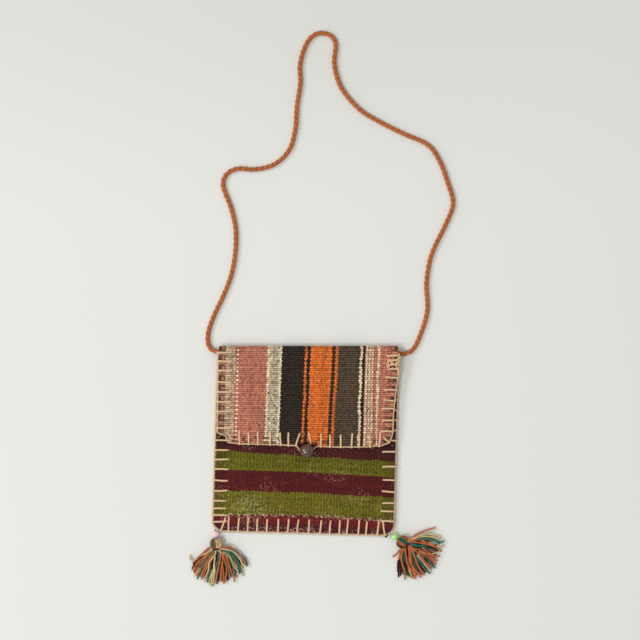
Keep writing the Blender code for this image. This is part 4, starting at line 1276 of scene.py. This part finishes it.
def sew_flap():
    edge = flap_edge()
    marks = [(Vector((-flap_side(y * MM, -1), y * MM)), 13.4, 0.2) for y in FLAP_LEFT_MM]
    marks += [(Vector((flap_side(y * MM, 1), y * MM)), 10.8, -0.4) for y in FLAP_RIGHT_MM]
    for x, slant in FLAP_BOTTOM_MM:
        marks.append((edge[nearest(edge, Vector((x * MM, flap_end(x * MM))))], 12.0, slant))
    # One stands over the scallop, and one at the cut corner.
    marks.append((Vector((5.2 * MM, flap_end(5.2 * MM) + 1.2 * MM)), 9.0, -2.8))
    marks.append((flap_corner(1)[1], 6.5, 0.0))
    tangle = []
    for row in TANGLE_MM:
        places = [(x * MM, y * MM) for x, y in pairs(row)]
        bends = [lean(Vector((x, y, flap_top(x, y) + 0.9 * MM))) for x, y in places]
        tangle.append(smooth(bends, YARN_STEP))
    sew(
        "stitches_flap", "stitching_flap", "flap", edge, marks, flap_top, flap_under, 8,
        more=tangle, gap=SCALLOP,
    )


THREAD_STEP = 0.4 * MM


def make_loose_ends():
    """A rust end and a red tuft in the flap's corners, and two ends of the right tassel's thread."""
    for name, finish, height, places in (
        ("rust_end", rust_wool, 1.0, ((-92.1, 2.3), (-90.6, 3.6), (-88.9, 5.0))),
        ("red_tuft", red_thread, 0.8, ((89.8, -5.2), (90.7, -5.9), (91.6, -5.4))),
        ("thread_tail", maroon_thread, -1.6, ((86.0, -98.0), (85.5, -100.4), (83.9, -102.2))),
        ("short_tail", maroon_thread, -1.4, ((82.9, -99.6), (83.8, -102.4))),
    ):
        route = smooth([
            Vector((x * MM, y * MM, pocket_top(x * MM, y * MM) + height * MM)) for x, y in places
        ], THREAD_STEP)
        end = tubes(name, plied([route], 1.5 * MM, 3 * MM), 0.42 * MM, 1, finish)
        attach(end, "bag")


sew_pocket()
sew_flap()
make_loose_ends()

# %% [markdown]
# ## The ball button
#
# A ball of dark polished wood stands on a thread stem in the middle of the front, and a loop of the
# same tan yarn comes down from the flap's edge, round the stem under the ball. A bead is turned, so
# its profile is spun round its axis, with a drilled hole below. Its grain is a noise in its own
# coordinates.

# %% Polished wood
polished_wood = Finish(
    "polished_wood", roughness=0.6, Specular_IOR_Level=0.1,
    Coat_Weight=1.0, Coat_Roughness=0.09, Coat_IOR=1.75,
)
wood_grain = polished_wood.noise(polished_wood.place(), 260, detail=4, roughness=0.6)
wood_rings = polished_wood.noise(polished_wood.place(), 70, detail=2)
polished_wood.colour(polished_wood.ramp(
    wood_grain * 0.6 + wood_rings * 0.4,
    [(0.3, tone(42, 24, 14)), (0.5, tone(86, 55, 38)), (0.68, tone(116, 80, 60))],
))
polished_wood.relief(wood_grain, 0.1 * MM, 0.25)


def spun(name, profile, centre, axis, steps, finish):
    """A profile of (along, out) pairs spun round an axis through the centre."""
    bm = bmesh.new()
    side = axis.orthogonal().normalized()
    verts = [bm.verts.new(centre + axis * along + side * out) for along, out in profile]
    edges = [bm.edges.new(pair) for pair in zip(verts, verts[1:])]
    bmesh.ops.spin(
        bm, geom=verts + edges, cent=centre, axis=axis, angle=math.tau, steps=steps, use_merge=True
    )
    bmesh.ops.remove_doubles(bm, verts=bm.verts, dist=0.001 * MM)
    bmesh.ops.recalc_face_normals(bm, faces=bm.faces)
    return as_piece(bm, name, finish, sharp=50)


# %% Button, stem and loop
BALL_RADIUS, BALL_HOLE, HOLE_DEPTH = 7.5 * MM, 1.4 * MM, 3 * MM
STEM_THREADS = 5


def make_button():
    first = math.asin(BALL_HOLE / BALL_RADIUS)
    hole_end = -BALL_RADIUS * math.cos(first) + HOLE_DEPTH
    profile = [(hole_end, 0), (hole_end, BALL_HOLE)]
    for step in range(33):
        turn = first + (math.pi - first) * step / 32
        profile.append((-BALL_RADIUS * math.cos(turn), BALL_RADIUS * math.sin(turn)))
    profile[-1] = (BALL_RADIUS, 0)
    ball = spun("ball_button", profile, BUTTON, Vector((0, 0, 1)), 48, polished_wood)
    dress(ball, "button", "wooden_button", "button_bead")


def make_stem():
    """Threads that leave their foot in a ring, draw together and go up into the ball."""
    low, high = (Vector(corner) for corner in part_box("button_thread"))
    base = Vector((BUTTON.x, BUTTON.y, low.z))
    routes = []
    for turn in full_turn(STEM_THREADS)[:-1]:
        foot = Vector((math.cos(turn), math.sin(turn), 0)) * 1.9 * MM
        neck = Vector((math.cos(turn + 1), math.sin(turn + 1), 0)) * 0.55 * MM
        routes.append(smooth([
            base + foot - Vector((0, 0, 0.6 * MM)), base + foot * 0.8 + Vector((0, 0, 0.4 * MM)),
            base + neck + Vector((0, 0, 1.4 * MM)), Vector((base.x + neck.y, base.y - neck.x, high.z)),
        ], THREAD_STEP))
    stem = tubes("button_stem", plied(routes, 0.9 * MM, 2.4 * MM), 0.25 * MM, 1, tan_yarn)
    dress(stem, "bag", "sewing_thread", "button_thread")


LOOP_MM = (
    (-10.6, -5.0, 12.6), (-9.0, -6.6, 12.2), (-6.8, -9.6, 11.4), (-4.5, -13.2, 10.8),
    (-1.8, -15.6, 10.7), (1.2, -16.4, 10.7), (4.3, -15.4, 10.7), (7.0, -11.8, 10.8),
    (8.9, -8.2, 11.6), (11.4, -6.2, 12.6),
)


def make_loop():
    """The loop's two legs leave the flap's edge either side of the scallop and meet under the ball."""
    route = smooth([Vector(place) * MM for place in LOOP_MM], THREAD_STEP)
    loop = tubes("yarn_loop", plied([route], 1.7 * MM, YARN_PITCH), 0.48 * MM, 1, tan_yarn)
    dress(loop, "flap", "stitch_yarn", "closure_loop")


make_button()
make_stem()
make_loop()

# %% [markdown]
# ## The tassels
#
# A tassel hangs from each lower corner on a maroon thread with a glass bead. Its head is a hank of
# strands folded over, so it looks like a small barrel of parallel yarns, and below the bound neck the
# same strands spread into a fan on the table. Every strand is a real yarn here. A strand leaves the
# neck, arches over its neighbours and comes down to the table near its end. The strands on top were
# drawn from the photograph, each as a few places along it. Those below them are scattered by a seeded
# generator.

# %% Glass beads
def make_glass(name, colour, pale):
    glass = Finish(name, roughness=0.12, Coat_Weight=0.6, Coat_Roughness=0.05, Subsurface_Weight=0.2)
    glass.shader.inputs["Subsurface Radius"].default_value = [1 * MM] * 3
    swirl = glass.noise(glass.place(), 300, detail=2)
    glass.colour(glass.mix(swirl * 0.6, colour, pale))
    glass.relief(swirl, 0.2 * MM, 0.2)
    return glass


GLASS_SLOTS = {"left": "pink_glass", "right": "green_glass"}
bead_glass = {
    "left": make_glass("pink_glass", tone(240, 200, 216), tone(252, 232, 238)),
    "right": make_glass("green_glass", tone(164, 224, 118), tone(212, 244, 168)),
}

# %% A tassel's own frame
# From the pivot outwards: a small ball of knot, the bead, the head, and the neck where the fan starts.
PIVOT_BALL = 0.7 * MM
BEAD_RADIUS = 3.9 * MM
HEAD_START = PIVOT_BALL + GAP + BEAD_RADIUS * 2 + GAP
HEAD_LENGTH, HEAD_RADIUS, HEAD_HALF_HEIGHT = 10.0 * MM, 6.8 * MM, 5.2 * MM
NECK = HEAD_START + HEAD_LENGTH + GAP
# The table's height under the thread, which the lowest strands lie on.
TABLE = -BEAD_RADIUS
WOOLS = {"r": rust_wool, "t": teal_wool, "k": khaki_wool, "b": brown_wool}


class Tassel:
    """One tassel's frame: x away from the corner along the thread, y across, z up from the thread."""

    def __init__(self, side):
        self.side = side
        swing, spin = joints[f"{side}_tassel_swing"], joints[f"{side}_bead_spin"]
        self.pivot = Vector(swing["pos_m"])
        self.axis = Vector(spin["axis"]).normalized()
        self.across = Vector((0, 0, 1)).cross(self.axis)

    def place(self, x, y, z):
        return self.pivot + self.axis * x + self.across * y + Vector((0, 0, z))

    def dress(self, piece, body, slot, node):
        dress(piece, f"{self.side}_{body}", slot, f"{node}_{self.side}")


# %% Threads, beads and heads
BEAD_HOLE, BEAD_FLATNESS = 0.9 * MM, 0.96
KNOT_RADIUS, BINDING_RADIUS = 0.42 * MM, 4.3 * MM
THREAD_PLACES = (0.95 * MM, 4 * MM, 7 * MM, HEAD_START + 1 * MM)


def make_bead(tassel):
    first = math.asin(BEAD_HOLE / BEAD_RADIUS)
    profile = []
    for step in range(21):
        turn = first + (math.pi - 2 * first) * step / 20
        along, out = -BEAD_RADIUS * math.cos(turn) * BEAD_FLATNESS, BEAD_RADIUS * math.sin(turn)
        profile.append((along, out))
    profile.append(profile[0])
    centre, glass = tassel.place(PIVOT_BALL + GAP + BEAD_RADIUS, 0, 0), bead_glass[tassel.side]
    bead = spun(f"glass_bead_{tassel.side}", profile, centre, tassel.axis, 32, glass)
    tassel.dress(bead, "bead", GLASS_SLOTS[tassel.side], "corner_bead")


def make_thread(tassel):
    """The thread through the bead, and three rings of it as the knot at the bag's corner."""
    route = smooth([tassel.place(x, 0, 0) for x in THREAD_PLACES], THREAD_STEP)
    strands = plied([route], 1.2 * MM, 2 * MM)
    thread = tubes(f"bead_thread_{tassel.side}", strands, 0.34 * MM, 1, maroon_thread)
    tassel.dress(thread, "tassel", "sewing_thread", "tassel_thread")
    rings = []
    for tilt in (-0.7, 0.0, 0.7):
        ring = []
        for turn in full_turn(16):
            up, side = KNOT_RADIUS * math.sin(turn), KNOT_RADIUS * math.cos(turn)
            ring.append(tassel.place(up * math.sin(tilt), side, up * math.cos(tilt)))
        ring = smooth(ring, 0.25 * MM)
        rings.append((ring, ring))
    knot = tubes(f"corner_knot_{tassel.side}", rings, 0.28 * MM, 1, maroon_thread)
    tassel.dress(knot, "hanger", "sewing_thread", "tassel_knot")


# How far along the head a strand is, and how far out.
HEAD_COURSE = (
    (0.0, 0.3), (0.02, 0.62), (0.1, 0.84), (0.35, 1.0), (0.65, 1.0), (0.88, 0.84), (1.0, 0.58),
)


def make_head(tassel, colours):
    """Strands side by side over a barrel, from its upper middle round; colours go once round it."""
    groups = {}
    squash = HEAD_HALF_HEIGHT / HEAD_RADIUS
    middle = HEAD_HALF_HEIGHT + TABLE + 0.3 * MM
    for number, colour in enumerate(colours):
        route = []
        for along, out in HEAD_COURSE:
            radius = (HEAD_RADIUS - 0.8 * MM) * out
            turn = math.tau * number / len(colours) + 0.1 * math.sin(along * 3 + number)
            route.append(tassel.place(
                HEAD_START + 0.9 * MM + (HEAD_LENGTH - 0.4 * MM) * along,
                radius * math.sin(turn),
                middle + radius * math.cos(turn) * squash,
            ))
        groups.setdefault(colour, []).append(smooth(route, 0.6 * MM))
    for colour, routes in groups.items():
        strands = plied(routes, 1.6 * MM, 12 * MM)
        head = tubes(f"head_{tassel.side}_{colour}", strands, 0.58 * MM, 2, WOOLS[colour])
        tassel.dress(head, "tassel", f"tassel_wool_{tassel.side}", "tassel_head")


def make_binding(tassel):
    """Two turns of brown yarn round the neck."""
    routes = []
    for start in (0.35 * MM, 1.1 * MM):
        ring = []
        for turn in full_turn(24):
            up, side = BINDING_RADIUS * math.cos(turn), BINDING_RADIUS * math.sin(turn)
            along = NECK + start + 0.3 * MM * math.sin(turn)
            ring.append(tassel.place(along, side, 1.1 * MM + up))
        routes.append(smooth(ring, 0.5 * MM))
    strands = plied(routes, 1.2 * MM, 3.4 * MM)
    binding = tubes(f"binding_{tassel.side}", strands, 0.34 * MM, 1, brown_wool)
    tassel.dress(binding, "tassel", "binding_wool", "tassel_binding")


# %% The fan of strands
STRAND_STEP = 0.8 * MM
STRAND_REACH = 34 * MM
FAN_HALF_DEGREES = 56


def strand_height(share, level, arch=0.0):
    """A strand's height at a share of its way: from the neck it arches over, then comes down."""
    top = TABLE + 4.4 * MM + level * 3.6 * MM
    rest = TABLE + 1.2 * MM + level * 4.6 * MM * (1 - share * 0.6)
    return top + (rest - top) * ease(share * 1.4) + arch * math.sin(math.pi * min(share * 1.3, 1))


def drawn_strand(tassel, row, level, random_):
    """A strand through places in millimetres from the neck. The neck isn't quite where the photograph
    has it, so the strand is moved more the further out it is, and its end stands in the right place."""
    photo_neck = Vector((*PHOTO_NECKS[tassel.side], 0)) * MM
    neck = tassel.place(NECK, 0, 0)
    places = [Vector((x, y, 0)) * MM for x, y in pairs(row)]
    if places[0].length < 9 * MM:
        places.insert(0, places[0] * 0.35)
    route = smooth(places, STRAND_STEP)
    arch = random_.uniform(0.2, 1.1) * MM
    for index, place in enumerate(route):
        far = min(place.length / STRAND_REACH, 1)
        shift = (photo_neck - neck) * far
        height = tassel.pivot.z + strand_height(far, level, arch if index else 0)
        route[index] = Vector((
            neck.x + place.x + shift.x, neck.y + place.y + shift.y, height
        ))
    return route


def filler(tassel, degrees, length, level, random_):
    """A strand below the drawn ones, from the neck outwards."""
    turn, route = math.radians(degrees), []
    side = 3.4 * MM * math.sin(turn) + random_.uniform(-0.4, 0.4) * MM
    place = Vector((NECK + 0.5 * MM, side, 0))
    ripple, phase = random_.uniform(0.06, 0.2), random_.uniform(0, math.tau)
    curl = random_.uniform(-0.15, 0.15)
    for step in range(13):
        share = step / 12
        route.append(tassel.place(place.x, place.y, strand_height(share, level)))
        heading = turn * (1.32 - 0.6 * share) + curl * (share - 0.5)
        heading += ripple * math.sin(phase + share * 9)
        place += Vector((math.cos(heading), math.sin(heading), 0)) * length / 12
    return smooth(route, STRAND_STEP)


def make_skirt(tassel, centre, drawn, fillers, seed):
    """The drawn strands from the lowest to the topmost, over scattered ones."""
    random_ = random.Random(seed)
    groups = {}
    for number, (colour, *row) in enumerate(drawn):
        level = 0.2 + 0.8 * number / len(drawn)
        groups.setdefault(colour, []).append(drawn_strand(tassel, row, level, random_))
    # The scattered strands below are mostly brown: the tassel's brown wool, and also painted shade in
    # the gaps between the strands on top.
    count = len(fillers) * 2
    for number in range(count):
        share = (number + random_.uniform(0.2, 0.8)) / count
        degrees = FAN_HALF_DEGREES * (share * 2 - 1)
        length = (random_.uniform(30, 36) - abs(degrees) * 0.05) * MM
        strand = filler(tassel, centre + degrees, length, number % 2 * 0.12, random_)
        groups.setdefault(fillers[number % len(fillers)], []).append(strand)
    for colour, routes in groups.items():
        strands = plied(routes, 1.2 * MM, 10 * MM, 3)
        fan = tubes(f"strands_{tassel.side}_{colour}", strands, 0.66 * MM, 1, WOOLS[colour])
        tassel.dress(fan, "tassel", f"tassel_wool_{tassel.side}", "tassel_skirt")
    total = sum(len(routes) for routes in groups.values())
    print(f"tassel on the {tassel.side}: {total} strands in the fan")


# %% The two tassels
# Colour, then x, y, x, y along each strand in millimetres from the neck, from the lowest up.
PHOTO_NECKS = {"left": (-92.5, -113.3), "right": (103.5, -106.5)}
LEFT_STRANDS_MM = (
    ("k", -18.7, -21, -23.9, -30), ("t", -1.9, -18.6, -5.5, -40), ("t", -0.7, -14.9, -0.7, -37.9),
    ("k", 7.8, -7.7, 10.8, -18.6, 12.3, -30.6),
    ("k", 11.4, -6.5, 19.2, -18.6, 25.3, -24.6, 26.5, -29.7),
    ("k", 5.4, -2.9, 17.4, -10.1, 26.5, -23.1), ("r", 5.4, -4.7, 19.8, -30.9),
    ("b", -2.5, -4.7, -4.9, -12.5, -6.1, -21), ("b", 4.8, -3.5, 10.2, -10.1, 15.6, -24.6),
    ("b", 1.7, -10.1, 1.1, -35.1), ("b", 5.4, -4.7, 9.6, -14.9, 11.1, -24.6, 10.8, -34.2),
    ("r", -3.7, -1.7, -9.1, -5.3, -18.7, -13.7, -27.2, -23.5),
    ("r", -3.7, -2.3, -15.1, -12.5, -24.3, -26.7),
    ("r", -3.1, -2.9, -12.7, -12.5, -18.4, -24, -22.1, -28.8),
    ("r", -3.7, 1.3, -10.3, -1.1, -25.9, -15.9),
    ("k", -4, -0.5, -11.5, -5.4, -16.3, -7.4, -22.4, -11.9, -25.4, -13, -27.8, -12.2, -28.9, -10.1,
     -28.4, -7.4),
    ("r", -2.5, -2.9, -8.8, -14.9, -16.3, -33), ("r", -3.1, -2.9, -10.6, -14.9, -17.5, -30.9),
    ("k", -1.9, -8.9, -3.7, -19.8), ("k", -2.8, -18.6, -8, -31.8, -8.5, -36.6, -7.8, -39.5),
    ("k", -2.6, -19.8, -6, -32.4, -6, -39.7), ("k", -2.4, -21, -4.4, -37.6),
    ("t", 1.7, -1.1, 0.8, -12.5, -2.6, -19.8, -8.5, -26.4, -10.3, -36.2),
    ("t", 2.4, -1.7, 2, -7.7, -0.7, -18.6, -3.2, -34.5),
    ("k", -0.7, -1.1, -1.9, -6.5, -7.8, -14.9, -9.8, -24.6, -13.1, -31.8, -13, -36.3),
    ("t", -3.1, -2.3, -5.8, -4.7, -13.9, -15.6, -18.1, -26.4, -21.6, -32.7),
    ("r", 3.6, -2.3, 3, -12.5, -1.6, -33, -0.8, -36.2),
    ("r", 4.5, -3.5, 6, -12.5, 4, -23.4, 4, -35.1), ("r", 4.5, -14.9, 6, -22.2, 6.6, -37.6),
    ("r", 5.4, -5.3, 9.5, -17.4, 9.9, -21.6, 8.1, -36),
    ("r", 6, -4.7, 10.2, -10.1, 15.3, -27.6, 17.1, -31.2, 17.7, -35.7),
    ("t", 5.4, -1.7, 10.2, -3.5, 17.7, -10.1, 21.9, -20.4, 23.4, -26.4),
    ("t", 6, -1.7, 10.8, -2.6, 15.6, -5, 19.2, -8.9, 21.9, -14.9, 24.8, -26.1),
    ("t", 7.8, -5.3, 13.2, -11.9, 15.9, -18, 18.5, -29.4),
    ("k", 3, -3.2, 12, -8.3, 14.4, -11.3, 16.8, -18.6, 19.8, -22.2, 21.5, -25.8, 21.2, -29.1),
    ("k", 3.9, -0.5, 13.8, -2.2, 18.3, -4.7, 24.2, -12.5, 26.2, -17.4, 28.6, -19.3),
    ("t", 11.4, -0.5, 19.8, -4.1, 25.9, -8.3, 29.2, -12.5, 31.3, -18.9),
    ("r", 3.6, -0.2, 12, 1.3, 15.9, 0.2, 23.7, -6.5, 26.6, -10.4, 29.2, -18.3),
)
RIGHT_STRANDS_MM = (
    ("k", 1.9, -19.3, 7.7, -39.2), ("r", 1.3, -13.3, 4.9, -33.2), ("b", 3.1, -3.1, 9.8, -29),
    ("b", 4.9, -3.1, 11, -9.1, 22.4, -24.8), ("b", 6.1, -3.1, 14, -8.5, 29.1, -23),
    ("b", 4.9, 1.1, 20.6, -3.1, 32.7, -7.9), ("b", 3.7, 3.6, 19.4, 4.5, 27.8, 3),
    ("b", 5.5, 3, 13.4, 2.7, 21.8, 1.1, 29.1, -3.1), ("t", 4.9, -7.3, 7.4, -16.9, 13.4, -31.4),
    ("t", 7.4, -6.1, 21.8, -16.9, 32.2, -28.1), ("k", 12.2, -12.1, 24.2, -27.8, 28, -31.4),
    ("k", 13.4, -8.5, 20.6, -11.5, 26.6, -12.7, 30.9, -12.8, 35.1, -11),
    ("k", 17, 1.7, 26.6, -1.3, 34.5, -4.9, 38.7, -5.8, 40.8, -3.7), ("r", -4.7, -3.7, -7.1, -18),
    ("r", -4.4, -3.1, -9.4, -11.4, -13.3, -14.5),
    ("r", -3.5, -7.3, -4.4, -16.9, -0.5, -30.8, 0.5, -40),
    ("r", -1.1, -3.1, 1.4, -19.3, 3.9, -25.4, 10.2, -33.2, 11, -39.7),
    ("t", -1.4, -2.5, -3.6, -10.3, -4, -15.7, -2.8, -21.8, 3.3, -35.1, 5.7, -35.7),
    ("r", 1.9, -3.1, 3.4, -7.3, 4.9, -19.3, 12.7, -35.7),
    ("r", 3.1, -3.7, 6.4, -20.6, 9.5, -27.8, 17.4, -37.9),
    ("r", 4.9, -4.3, 14.7, -26.6, 20.7, -35.7),
    ("t", 6.1, -4.3, 8.7, -9.7, 19.5, -26.6, 26.9, -34.1),
    ("r", 7.4, -4.9, 15.8, -13.3, 22.5, -22.4, 29.2, -28.1),
    ("r", 3.7, -2.5, 8.6, -7, 22.4, -14.6, 33, -24.6),
    ("r", 4.3, -1.9, 8, -4.9, 17.3, -8, 34.2, -20.9),
    ("r", 17, -4.3, 27.8, -13.3, 32.7, -16, 37.4, -15.1),
    ("r", 4.9, 2.4, 8.6, 2.2, 23, -2, 33.9, -6.7, 38.7, -10.9),
    ("t", 1.9, 2.7, 11, -1.4, 20, -3.2, 26, -7.3, 32.4, -8.8),
    ("t", 1.3, 2, 6.1, -1, 17, -4, 20.6, -5.8, 23.3, -9.7),
    ("r", 3.7, 3.9, 13.4, 4, 18.2, 2.5, 26.6, -2.2, 33.9, -4.3),
    ("t", 13.4, 4.2, 26.6, 2.4, 37.5, -2.6),
    ("t", 12.2, 4.5, 19.4, 4.5, 26, 3.3, 37.5, -0.8, 41.8, 0.7),
    ("k", 3.7, 4.8, 20.6, 6.4, 38, 2.5), ("k", 3.1, 4.8, 12.2, 7.2, 24.2, 8.7, 37.6, 4.8),
    ("r", 1.3, 3.9, 13.4, 10.1, 32.5, 14.4),
)


def make_tassels():
    """Each with its head's colours, the way its fan points in degrees, and the fan's strands."""
    plans = (
        (Tassel("left"), "kkkkkkrtbkrtrbrrrttr", -4, LEFT_STRANDS_MM, "bbbbbtbkbbbrbbbb", 21),
        (Tassel("right"), "tttrrrbtkrbrtbrttbrr", -18, RIGHT_STRANDS_MM, "bbbbbtbbbrbbbbrb", 22),
    )
    for tassel, *_ in plans:
        make_bead(tassel)
        make_thread(tassel)
    for tassel, head, *_ in plans:
        make_head(tassel, head)
    for tassel, *_ in plans:
        make_binding(tassel)
    for tassel, _, *fan in plans:
        make_skirt(tassel, *fan)


make_tassels()
